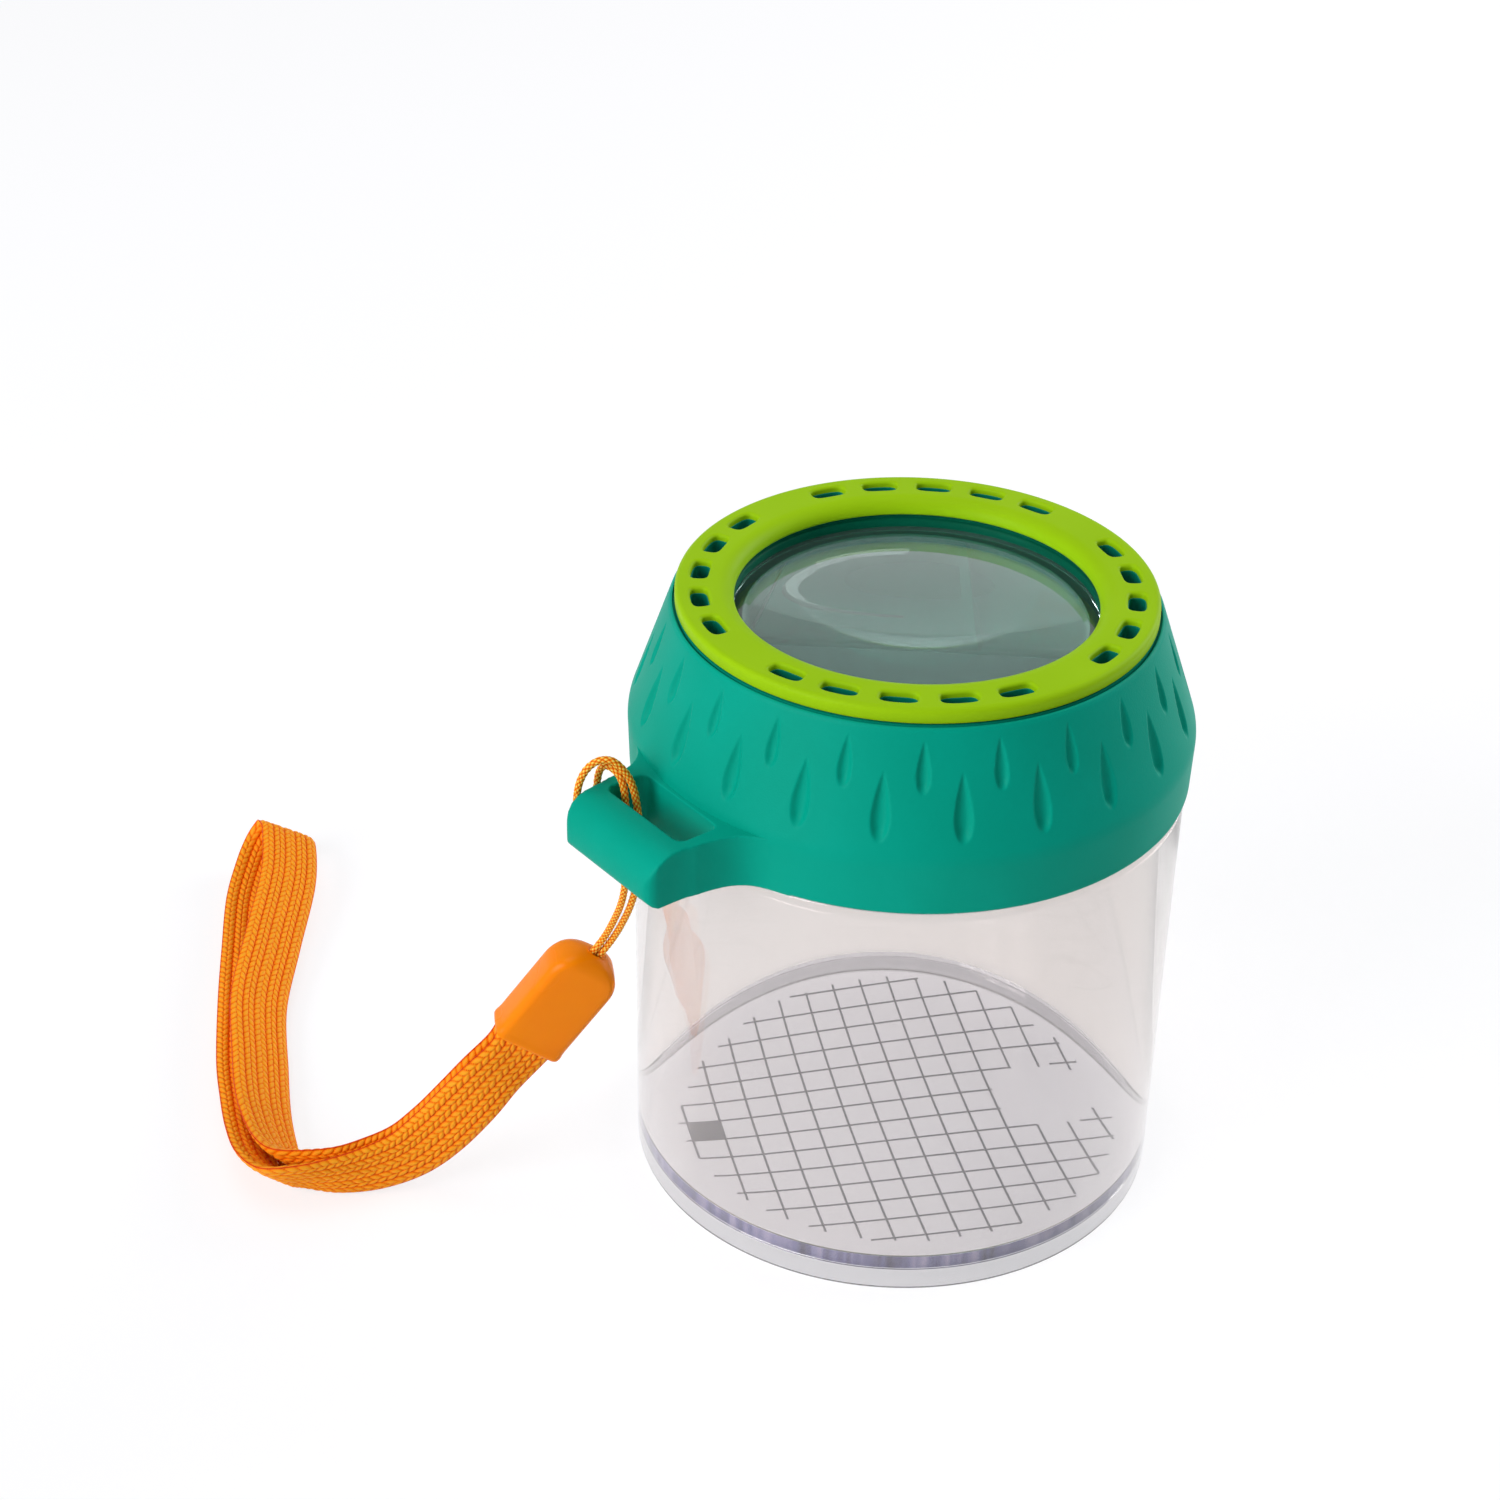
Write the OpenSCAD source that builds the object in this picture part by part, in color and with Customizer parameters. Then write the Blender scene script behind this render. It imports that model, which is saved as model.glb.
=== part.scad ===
// Bug catcher jar: a clear jar with a magnifier in its lid, a ring of air vents and a wrist strap.
// Millimetres. The origin is on the jar's axis at table height, +Z up, the strap loop towards -X.

/* [Jar] */
// Outside radius of the jar at its shoulder
jar_r = 42.75; // [39:0.25:50]
// How much narrower the jar is at its foot
jar_draft = 0.35; // [0:0.05:1]
// Thickness of the side wall
jar_wall = 2.75; // [2.3:0.05:3.2]
// Height of the shoulder that the lid comes down to
shoulder_z = 71.6; // [50:0.2:110]
// Width of the shoulder, from the side of the jar to its neck
shoulder_w = 3.15; // [2.9:0.05:3.6]
// Height of the neck above the shoulder
neck_h = 15.4; // [14.4:0.1:17]
// Thickness of the neck's wall
neck_wall = 2; // [1.7:0.1:2.6]
// Rounding of the foot's outer edge
foot_edge = 1.1; // [0.5:0.1:1.2]
// Chamfer of the rim and of the shoulder's edge
rim_edge = 0.5; // [0.2:0.1:0.7]

/* [Floor] */
// Depth of the recess under the floor
floor_recess = 3.4; // [2:0.1:6]
// Thickness of the floor disc
floor_t = 2.4; // [1.6:0.1:4]
// Width of the foot recess beyond the inside of the jar
floor_ledge = 1.1; // [0.9:0.05:1.2]
// How much narrower the floor disc's pocket is than the recess
pocket_step = 0.5; // [0.45:0.05:0.6]
// Clearance round the floor disc
floor_gap = 0.15; // [0.05:0.05:0.3]
// Radius of the moulding gate's dimple in the middle of the floor
gate_r = 1.6; // [1:0.1:3]
// Depth of the dimple
gate_d = 0.4; // [0.2:0.1:0.8]

/* [Twist lock] */
// Number of lugs in the lid and of tracks round the neck
lock_count = 3; // [2:1:4]
// Direction of the first track's notch, in degrees
notch_az = 70.2; // [0:0.1:120]
// Depth of a track in the neck
track_d = 1; // [0.8:0.05:1.2]
// Height of the groove that a lug turns along
track_h = 8.4; // [8.2:0.1:9.2]
// Thickness of the lip above the groove
track_lip = 2.8; // [2:0.1:3.5]
// Length of a track round the neck, notch included
track_len = 16.4; // [14:0.2:20]
// Length of the notch that lets a lug in
notch_len = 4.9; // [4.7:0.1:6]
// How much deeper and lower than the groove the notch is
notch_relief = 0.1; // [0.05:0.05:0.2]
// Length of a lug round the lid
lug_len = 4.2; // [3:0.1:4.5]
// Height of a lug
lug_h = 7.5; // [6:0.1:7.6]
// Clearance under a lug
lug_gap = 0.3; // [0.2:0.05:0.4]
// Clearance between a lug and the bottom of its track
lug_run = 0.2; // [0.1:0.05:0.3]
// Radius of the nib that a lug clicks past
nib_r = 0.4; // [0.2:0.05:0.45]
// Distance from the nib to the closed end of the track
nib_at = 7.6; // [6:0.1:9]

/* [Collar] */
// How far the skirt stands out from the side of the jar
skirt_out = 0.55; // [0.3:0.05:1.2]
// Clearance between the skirt and the shoulder
skirt_gap = 0.25; // [0.1:0.05:0.5]
// Height of the straight band
band_h = 8.95; // [8:0.05:11]
// How much wider the band is at its top
band_flare = 0.3; // [0:0.05:0.8]
// Height of the sloping side above the band
cone_h = 18.6; // [17:0.1:24]
// How much narrower the collar is at its top than at its band
cone_in = 6.4; // [5:0.1:7]
// Thickness of the collar's wall
collar_wall = 1.5; // [1.2:0.05:1.6]
// Thickness of the deck under the vent ring
deck_t = 2; // [1.4:0.1:2.6]
// Number of centring ribs between two lugs
rib_count = 3; // [1:1:5]
// Thickness of a centring rib
rib_w = 1.2; // [0.8:0.1:2]
// Clearance between the ribs and the neck
rib_gap = 0.2; // [0.1:0.05:0.3]
// Distance from the skirt's edge up to the ribs
rib_rise = 1.5; // [0.5:0.1:3]
// Height of the ribs
rib_h = 11.5; // [6:0.1:12]

/* [Drops] */
// Number of drops in each row
drop_count = 22; // [16:1:24]
// Direction of one long drop, in degrees
drop_turn = -5.4; // [-10:0.1:10]
// Length of a long drop
long_drop_len = 8.2; // [6:0.1:9]
// Width of a long drop
long_drop_w = 3.3; // [2:0.1:4]
// Depth of a long drop
long_drop_d = 0.8; // [0.4:0.05:0.9]
// Distance down the slope from the collar's top edge to a long drop
long_drop_at = 7.8; // [6:0.1:9]
// Length of a short drop
short_drop_len = 8; // [5:0.1:9]
// Width of a short drop
short_drop_w = 2.7; // [1.6:0.1:3.2]
// Depth of a short drop
short_drop_d = 0.6; // [0.3:0.05:0.8]
// Distance down the slope from the collar's top edge to a short drop
short_drop_at = 1.7; // [1:0.1:3]

/* [Strap loop] */
// Reach of the loop's bar beyond the band
loop_reach = 14.3; // [13:0.1:18]
// Height of the loop below the band's top edge
loop_drop = 0.2; // [0:0.1:1]
// Width of the bar
bar_w = 6.9; // [6.2:0.1:8]
// Width of the slot behind the bar
slot_w = 6.8; // [5.5:0.1:6.8]
// Length of the slot
slot_len = 18; // [16:0.2:20]
// Rounding of the slot's corners
slot_corner = 1.2; // [0.5:0.1:2]
// Thickness of the arms beside the slot
arm_w = 1.7; // [1.4:0.1:3]
// Radius of the sweep from an arm into the band
arm_sweep = 16; // [12:0.5:20]
// Rounding of the bar's corners, seen from above
bar_corner = 1.8; // [0.5:0.1:2.5]
// Radius of the bar's rounded top
bar_top_r = 5.5; // [4:0.1:5.8]
// Radius of the bar's lower edge
bar_low_r = 1.6; // [0.5:0.1:2]

/* [Lens] */
// Thickness of the lens at its edge
lens_edge_t = 2.3; // [1.6:0.1:2.6]
// Width of the flat flange round the lens
lens_flange = 2.2; // [1.6:0.1:3]
// Rise of the upper face
lens_top_rise = 3.2; // [1.5:0.1:4]
// Rise of the lower face
lens_low_rise = 2.2; // [1:0.1:3]
// Clearance round the lens
lens_gap = 0.2; // [0.1:0.05:0.3]
// Play between the lens and the bead that holds it
lens_play = 0.1; // [0.05:0.05:0.2]
// Height of the bead
bead_h = 0.8; // [0.5:0.1:1]
// Overhang of the bead over the lens
bead_over = 0.25; // [0.1:0.05:0.35]
// Width of the ledge under the lens
ledge_w = 2; // [1.4:0.1:2.1]
// Thickness of the ledge
ledge_t = 1.4; // [1:0.1:2]
// Thickness of the wall round the lens
well_wall = 1.6; // [1.2:0.1:2]

/* [Vent ring] */
// Width from the collar's top edge to the ring
ring_inset = 0.75; // [0.3:0.05:1.5]
// Width of the ring
ring_w = 8.95; // [8:0.05:10]
// Thickness of the ring
ring_h = 2.6; // [2:0.1:4]
// Rounding of the ring's upper edges
ring_edge = 1.2; // [0.5:0.1:1.4]
// Overhang of the ring over the lens
ring_over = 0.5; // [0.3:0.05:1.5]
// Height of the spigot under the ring that centres it in the collar
spigot_h = 1.1; // [0.6:0.1:1.6]
// Clearance round and under the spigot
spigot_gap = 0.15; // [0.1:0.05:0.2]
// Number of places round the ring, slots and pegs together
vent_places = 24; // [16:4:24]
// Number of pegs that hold the ring, in place of slots
peg_count = 4; // [2:2:4]
// Distance from the ring's outer edge to the middle of its slots
vent_at = 3.55; // [3:0.05:4]
// Length of a slot
vent_len = 5.5; // [4:0.1:6]
// Width of a slot
vent_w = 2.8; // [2:0.1:3.2]
// Rounding of a slot's corners
vent_corner = 1; // [0.5:0.1:1]
// Radius of a peg
peg_r = 1.2; // [0.8:0.1:1.4]
// Clearance round a peg
peg_gap = 0.15; // [0.1:0.05:0.2]

/* [Cord and strap] */
// Diameter of the cord
cord_d = 1.2; // [1:0.05:1.3]
// Distance between the two strands in the end piece
strand_pitch = 1.7; // [1.6:0.05:2]
// Width of the strap
strap_w = 10.4; // [9:0.1:11]
// Thickness of the strap
strap_t = 1.8; // [1.2:0.1:2]
// Gap between the two layers of the strap
strap_gap = 0.1; // [0.05:0.05:0.3]
// Length of the end piece
ferrule_len = 19.8; // [17:0.2:24]
// Width of the end piece
ferrule_w = 11.8; // [11:0.1:14]
// Thickness of the end piece
ferrule_t = 7; // [6.2:0.1:9]
// Rounding of its long edges
ferrule_edge = 1.8; // [1:0.1:2.5]
// Width of the rim round its mouth
ferrule_rim = 0.5; // [0.2:0.1:0.8]
// Height of that rim
ferrule_rim_h = 1.3; // [0.8:0.1:2]
// Width of the metal clip inside the end piece
crimp_w = 9; // [8:0.1:9.4]
// Thickness of the clip
crimp_t = 4; // [3:0.1:4.4]
// Length of the clip
crimp_len = 6; // [4:0.2:9]
// Clearance round the clip and the cord inside the end piece
crimp_gap = 0.15; // [0.1:0.05:0.25]

/* [Hidden] */
$fn = 96;
// Overrun of every cut
cut = 0.5;
// Overrun beside a face that only needs to be cleared
cut_thin = 0.05;
// Radius of the end piece's round top, as a share of its width and of its thickness
ferrule_top_share = 0.46;
ferrule_side_share = 0.4;
// Sides of the nib, so that a lug meets it on a slope
nib_sides = 6;
// Facets of a rounded edge
edge_steps = 6;
// Facets of a drop's round end
drop_steps = 8;
// Depth of a drop at its tip, as a share of its full depth
tip_share = 0.12;
// Facets of a lens face, fine enough to hold its shallow dome
dome_fn = 240;
// Sides of the cord
cord_sides = 8;

// Jar
foot_r = jar_r - jar_draft;
foot_bore_r = foot_r - jar_wall + floor_ledge;
jar_in_r = jar_r - jar_wall;
floor_in_r = foot_r - jar_wall;
pocket_r = foot_bore_r - pocket_step;
floor_z = floor_recess + floor_t;
neck_r = jar_r - shoulder_w;
neck_in_r = neck_r - neck_wall;
rim_z = shoulder_z + neck_h;

// Twist lock
groove_top = rim_z - track_lip;
groove_z = groove_top - track_h;
track_r = neck_r - track_d;
function arc_deg(len) = len / neck_r * 180 / PI;
track_from = notch_az + arc_deg(notch_len / 2) - arc_deg(track_len);
track_to = notch_az + arc_deg(notch_len / 2);
lug_in_r = track_r + lug_run;
lug_z = groove_z + lug_gap;

// Collar
skirt_z = shoulder_z + skirt_gap;
skirt_r = jar_r + skirt_out;
band_r = skirt_r + band_flare;
band_z = skirt_z + band_h;
top_z = band_z + cone_h;
top_r = band_r - cone_in;
slope = atan(cone_in / cone_h);
skirt_edge = collar_wall / 3;
deck_z = top_z - deck_t;
function side_r(z) = z < band_z
    ? skirt_r + band_flare * (z - skirt_z) / band_h
    : band_r - cone_in * (z - band_z) / cone_h;
function inner_r(z) = side_r(z) - collar_wall / (z < band_z ? 1 : cos(slope));
function middle_r(z) = (side_r(z) + inner_r(z)) / 2;

// Vent ring
ring_r = top_r - ring_inset;
ring_in_r = ring_r - ring_w;
ring_top = top_z + ring_h;
vent_r = ring_r - vent_at;
peg_every = vent_places / peg_count;

// Lens and its seat, from the top down
lens_r = ring_in_r + ring_over;
well_r = lens_r + lens_gap;
bead_top = top_z - spigot_h - spigot_gap;
bead_z = bead_top - bead_h;
bead_r = lens_r - bead_over;
seat_z = bead_z - lens_play - lens_edge_t;
lens_top_z = seat_z + lens_edge_t;
ledge_z = seat_z - ledge_t;
ledge_r = well_r - ledge_w - lens_gap;
dome_r = lens_r - lens_flange;

// Strap loop
loop_z = band_z - loop_drop;
nose_x = band_r + loop_reach;
slot_out = nose_x - bar_w;
slot_in = slot_out - slot_w;
arm_y = slot_len / 2 + arm_w;
sweep_y = arm_y + arm_sweep;
sweep_x = sqrt(pow(band_r + arm_sweep, 2) - pow(sweep_y, 2));

// Place and direction of the strap's end piece, from its mouth
ferrule_at = [-58, 22, 30];
ferrule_az = -36;
ferrule_el = 55;
ferrule_lean = 7;

// Points along the cord between its two ends: up through the slot, over the loop's far arm,
// down beside it, round its own two strands under the loop, and back the same way
cord_route = [
    [-48.2, 13.9, 50.2], [-48.4, 11.8, 54], [-48.6, 9.6, 58.3], [-48.9, 7.9, 62.5], [-48.9, 7.2, 67],
    [-48.8, 7.3, 73], [-48.8, 7.5, 79], [-49, 8, 81.6], [-49.4, 9, 82.9], [-49.9, 10.3, 83.3],
    [-50.2, 11.5, 82.4], [-50.4, 12.2, 80], [-50.4, 12.4, 75.5], [-49.8, 12.3, 71.5], [-48.7, 11.5, 68.7],
    [-47.2, 10, 66.9], [-45.8, 8, 66.1], [-45.1, 6.1, 65.9], [-45.9, 4.4, 65.8], [-47.6, 3.8, 65.8],
    [-49.3, 4.8, 66], [-50.8, 7, 66.6], [-52.3, 9.4, 67.6], [-53.5, 11.2, 69.5], [-54.1, 12, 73],
    [-54.3, 12, 78], [-54, 11.6, 81.3], [-53.1, 10.8, 83.8], [-51.8, 9.7, 85.2], [-50.3, 8.5, 85.2],
    [-49, 7.5, 83.6], [-48, 6.7, 81], [-47.4, 6.2, 76.5], [-47.1, 6.2, 70], [-47.1, 6.6, 64.5],
    [-46.8, 8.5, 58.5], [-46.6, 11, 53.5], [-46.9, 13.3, 49.5]
];

// Points along the middle of the doubled strap, from the end piece to the bend on the table.
// Each is a place and how far the strap leans outwards from upright, in degrees.
strap_shared = [
    [[-59.6, 23.1, 27.2], 7], [[-63, 24.6, 23.4], 6], [[-66.2, 26.8, 18.3], 4], [[-70, 30.2, 12.8], 2],
    [[-74, 34, 8.8], 6], [[-78.5, 37.6, 6.4], 16], [[-83, 41.2, 5.6], 28]
];
// The outer layer from the bend to the fold
strap_outer = [
    [[-87.5, 43.5, 5.1], 38], [[-90, 46, 4.6], 45], [[-90.6, 50, 4.2], 52], [[-89, 56, 3.7], 60],
    [[-86, 63.5, 3.3], 66], [[-81, 73.5, 2.9], 71], [[-72, 89, 2.5], 75], [[-64, 102, 2.5], 75],
    [[-56, 114, 2.9], 73], [[-50, 121.5, 3.3], 70]
];
// The inner layer from the bend to the fold
strap_inner = [
    [[-86, 45.8, 5.3], 34], [[-87.5, 48, 5.1], 42], [[-87.5, 51.5, 5], 48], [[-86, 56, 5], 54],
    [[-83.5, 61.5, 4.9], 58], [[-79, 70, 4.8], 61], [[-71, 84, 4.7], 63], [[-63, 96, 4.8], 63],
    [[-54.5, 107, 5.2], 62], [[-48, 115.5, 5.8], 61]
];
// Middle of the fold, the leans of the two layers there, and half the distance between them
fold_at = [-43.4, 124.5, 5];
fold_out = [-1.5, 1, -1.4];
fold_leans = [68, 61];
fold_steps = 6;

// Points of an arc, in degrees
function arc(x, y, r, from, to, steps) =
    [for (i = [0:steps]) let (a = from + (to - from) * i / steps) [x + r * cos(a), y + r * sin(a)]];

// A block that follows a circle, from one direction to another
module arc_block(r, z, w, h, from, to) {
    rotate([0, 0, from]) rotate_extrude(angle = to - from) translate([r, z]) square([w, h]);
}

// A slot outline with round ends, along Y
module slot_outline(w, len) {
    square([w, len - w], center = true);
    for (s = [-1, 1]) translate([0, s * (len - w) / 2]) circle(d = w);
}

// A rectangle with round corners
module round_rect(x, y, r) {
    square([x - 2 * r, y], center = true);
    square([x, y - 2 * r], center = true);
    for (sx = [-1, 1], sy = [-1, 1]) translate([sx * (x / 2 - r), sy * (y / 2 - r)]) circle(r);
}

// Section through one side of the jar
module jar_section() {
    polygon(concat(
        [[foot_bore_r, 0]],
        arc(foot_r - foot_edge, foot_edge, foot_edge, -90, 0, edge_steps),
        [[jar_r, shoulder_z - rim_edge], [jar_r - rim_edge, shoulder_z], [neck_r, shoulder_z],
         [neck_r, rim_z - rim_edge], [neck_r - rim_edge, rim_z],
         [neck_in_r + rim_edge, rim_z], [neck_in_r, rim_z - rim_edge],
         [neck_in_r, shoulder_z - jar_wall + jar_in_r - neck_in_r], [jar_in_r, shoulder_z - jar_wall],
         [floor_in_r, floor_z], [pocket_r, floor_z], [pocket_r, floor_recess], [foot_bore_r, floor_recess]]
    ));
}

// Track for one lug of the lid: a notch down from the rim and a groove to the closed end
module lock_track() {
    notch_from = track_to - arc_deg(notch_len);
    notch_mid = track_to - arc_deg(notch_len / 2);
    notch_r = track_r - notch_relief;
    notch_z = groove_z - notch_relief;
    difference() {
        union() {
            arc_block(track_r, groove_z, track_d + cut, track_h, track_from, notch_mid);
            arc_block(notch_r, notch_z, track_d + cut, rim_z + cut - notch_z, notch_from, track_to);
        }
        rotate([0, 0, track_from + arc_deg(nib_at)]) translate([track_r - cut, 0, groove_top])
            rotate([0, 90, 0]) cylinder(r = nib_r, h = track_d + 3 * cut, $fn = nib_sides);
    }
}

module jar_body() {
    color([0.93, 0.92, 0.93, 0.4]) difference() {
        rotate_extrude() jar_section();
        for (i = [0:lock_count - 1]) rotate([0, 0, 360 * i / lock_count]) lock_track();
    }
}

module floor_disc() {
    color([0.9, 0.9, 0.94, 0.4]) difference() {
        translate([0, 0, floor_recess]) cylinder(r = pocket_r - floor_gap, h = floor_t);
        translate([0, 0, floor_z - gate_d]) cylinder(r1 = gate_r / 2, r2 = gate_r, h = gate_d);
    }
}

// Section through one side of the collar: skirt, band, slope, deck and the well for the lens
module collar_section() {
    polygon([
        [skirt_r - collar_wall, skirt_z], [skirt_r - skirt_edge, skirt_z], [skirt_r, skirt_z + skirt_edge],
        [band_r, band_z], [top_r, top_z],
        [well_r, top_z], [well_r, bead_top], [bead_r, bead_top - bead_h / 3], [bead_r, bead_z],
        [well_r, bead_z], [well_r, seat_z], [ledge_r, seat_z], [ledge_r, ledge_z],
        [well_r + well_wall, ledge_z], [well_r + well_wall, deck_z],
        [inner_r(deck_z), deck_z], [inner_r(band_z), band_z]
    ]);
}

// Lug that turns along a track, fused to the wall of the collar
module lock_lug() {
    half = arc_deg(lug_len) / 2;
    rotate([0, 0, notch_az - half]) rotate_extrude(angle = 2 * half) polygon([
        [lug_in_r, lug_z], [middle_r(lug_z), lug_z], [middle_r(band_z), band_z],
        [middle_r(lug_z + lug_h), lug_z + lug_h], [lug_in_r, lug_z + lug_h]
    ]);
}

// Rib that centres the collar on the neck
module centring_rib() {
    half = arc_deg(rib_w) / 2;
    low = skirt_z + rib_rise;
    high = low + rib_h;
    r = neck_r + rib_gap;
    rotate([0, 0, -half]) rotate_extrude(angle = 2 * half) polygon([
        [r, low], [middle_r(low), low], [middle_r(band_z), band_z], [middle_r(high), high], [r, high]
    ]);
}

// Cutter for a drop: a pointed outline whose floor slopes down from its tip to its round end.
// The tip is at the origin, +X points away from the surface and the drop hangs down Z.
module drop(len, w, d) {
    middle = len - w / 2;
    side = asin(w / 2 / middle);
    rotate([0, atan(d * (1 - tip_share) / len), 0]) translate([-d * tip_share, 0, 0])
        rotate([90, 0, 90]) linear_extrude(2 * d + cut)
            polygon(concat([[0, 0]], arc(0, -middle, w / 2, side, -180 - side, drop_steps)));
}

// A row of drops on the sloping side
module drop_row(turn, at, len, w, d) {
    for (i = [0:drop_count - 1])
        rotate([0, 0, turn + 360 * i / drop_count]) translate([top_r, 0, top_z])
            rotate([0, -slope, 0]) translate([0, 0, -at]) drop(len, w, d);
}

// Outline of the strap loop from above, towards +X
module loop_plan() {
    difference() {
        polygon([[0, 0], [sweep_x, sweep_y], [sweep_x, -sweep_y]]);
        for (s = [-1, 1]) translate([sweep_x, s * sweep_y]) circle(arm_sweep);
    }
    translate([sweep_x - bar_corner, -arm_y]) square([nose_x - sweep_x, 2 * arm_y]);
    translate([sweep_x - bar_corner, bar_corner - arm_y])
        square([nose_x - sweep_x + bar_corner, 2 * (arm_y - bar_corner)]);
    for (s = [-1, 1]) translate([nose_x - bar_corner, s * (arm_y - bar_corner)]) circle(bar_corner);
}

// Outline of the strap loop from the side: X along the reach, Y up
module loop_side() {
    translate([skirt_r / 2, skirt_z]) square([nose_x - bar_top_r - skirt_r / 2, loop_z - skirt_z]);
    translate([skirt_r / 2, skirt_z]) square([nose_x - bar_low_r - skirt_r / 2, bar_low_r]);
    translate([nose_x - bar_low_r, skirt_z + bar_low_r]) circle(bar_low_r);
    translate([skirt_r / 2, skirt_z + bar_low_r])
        square([nose_x - skirt_r / 2, loop_z - skirt_z - bar_top_r - bar_low_r]);
    translate([nose_x - bar_top_r, loop_z - bar_top_r]) circle(bar_top_r);
}

module strap_loop() {
    through = loop_z - skirt_z + 2 * cut;
    rotate([0, 0, 180]) difference() {
        intersection() {
            translate([0, 0, skirt_z]) linear_extrude(loop_z - skirt_z) loop_plan();
            rotate([90, 0, 0]) linear_extrude(2 * arm_y + 4 * arm_sweep, center = true) loop_side();
        }
        translate([0, 0, skirt_z - cut]) {
            cylinder(r = skirt_r - collar_wall / 2, h = through);
            translate([(slot_in + slot_out) / 2, 0, 0])
                linear_extrude(through) round_rect(slot_w, slot_len, slot_corner);
        }
    }
}

// The slots of the deck and of the ring lie in line
module vent_slots(z, h) {
    for (i = [0:vent_places - 1])
        if (i % peg_every != 0)
            rotate([0, 0, 360 * i / vent_places]) translate([vent_r, 0, z])
                linear_extrude(h) round_rect(vent_w, vent_len, vent_corner);
}

module pegs(r, z, h) {
    for (i = [0:peg_count - 1])
        rotate([0, 0, 360 * i / peg_count]) translate([vent_r, 0, z]) cylinder(r = r, h = h);
}

module collar() {
    color([0.0, 0.55, 0.45]) {
        difference() {
            rotate_extrude() collar_section();
            vent_slots(deck_z - cut, deck_t + 2 * cut);
            pegs(peg_r + peg_gap, deck_z - cut, deck_t + 2 * cut);
            drop_row(drop_turn, long_drop_at, long_drop_len, long_drop_w, long_drop_d);
            drop_row(drop_turn + 180 / drop_count, short_drop_at, short_drop_len, short_drop_w, short_drop_d);
        }
        strap_loop();
        for (i = [0:lock_count - 1]) rotate([0, 0, 360 * i / lock_count]) {
            lock_lug();
            for (k = [1:rib_count])
                rotate([0, 0, notch_az + 360 / lock_count * k / (rib_count + 1)]) centring_rib();
        }
    }
}

// Section through one side of the vent ring, with the spigot that drops into the collar
module ring_section() {
    translate([ring_in_r, top_z]) square([ring_w, ring_h - ring_edge]);
    translate([ring_in_r + ring_edge, top_z]) square([ring_w - 2 * ring_edge, ring_h]);
    translate([ring_in_r + ring_edge, ring_top - ring_edge]) circle(ring_edge);
    translate([ring_r - ring_edge, ring_top - ring_edge]) circle(ring_edge);
    translate([ring_in_r, top_z - spigot_h])
        square([well_r - spigot_gap - ring_in_r, spigot_h + ring_h / 2]);
}

module vent_ring() {
    color([0.55, 0.77, 0.12]) {
        difference() {
            rotate_extrude() ring_section();
            vent_slots(top_z - cut, ring_h + 2 * cut);
        }
        pegs(peg_r, deck_z, deck_t + ring_h / 2);
    }
}

// Ball whose cap has the given rise over the lens's clear face
function ball_r(rise) = (dome_r * dome_r + rise * rise) / (2 * rise);

module lens() {
    color([0.9, 0.97, 0.95, 0.4]) {
        translate([0, 0, seat_z]) cylinder(r = lens_r, h = lens_edge_t);
        intersection() {
            translate([0, 0, lens_top_z - lens_edge_t / 2])
                cylinder(r = lens_r, h = lens_top_rise + lens_edge_t);
            translate([0, 0, lens_top_z + lens_top_rise - ball_r(lens_top_rise)])
                sphere(r = ball_r(lens_top_rise), $fn = dome_fn);
        }
        intersection() {
            translate([0, 0, seat_z - lens_low_rise - lens_edge_t / 2])
                cylinder(r = lens_r, h = lens_low_rise + lens_edge_t);
            translate([0, 0, seat_z - lens_low_rise + ball_r(lens_low_rise)])
                sphere(r = ball_r(lens_low_rise), $fn = dome_fn);
        }
    }
}

// Directions of the end piece: along it from the mouth, across its wide face, and out of that face
ferrule_dir = [cos(ferrule_el) * cos(ferrule_az), cos(ferrule_el) * sin(ferrule_az), sin(ferrule_el)];
function unit(v) = v / norm(v);
// Direction across a flat strap that runs along t and leans outwards from upright
function across(t, lean) = let (side = unit(cross(t, [0, 0, 1])), up = cross(side, t))
    cos(lean) * up - sin(lean) * side;
ferrule_across = across(-ferrule_dir, ferrule_lean);
// A point of the end piece: height above the mouth, and distance across
function in_ferrule(z, x) = ferrule_at + z * ferrule_dir + x * ferrule_across;

module at_ferrule() {
    translate(ferrule_at) rotate([0, 0, ferrule_az]) rotate([0, 90 - ferrule_el, 0])
        rotate([0, 0, 180 + ferrule_lean]) children();
}

// Outline with a round top, from the mouth up
module bullet(w, len, r) {
    translate([-w / 2, 0]) square([w, len - r]);
    translate([r - w / 2, 0]) square([w - 2 * r, len]);
    for (s = [-1, 1]) translate([s * (w / 2 - r), len - r]) circle(r);
}

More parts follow.
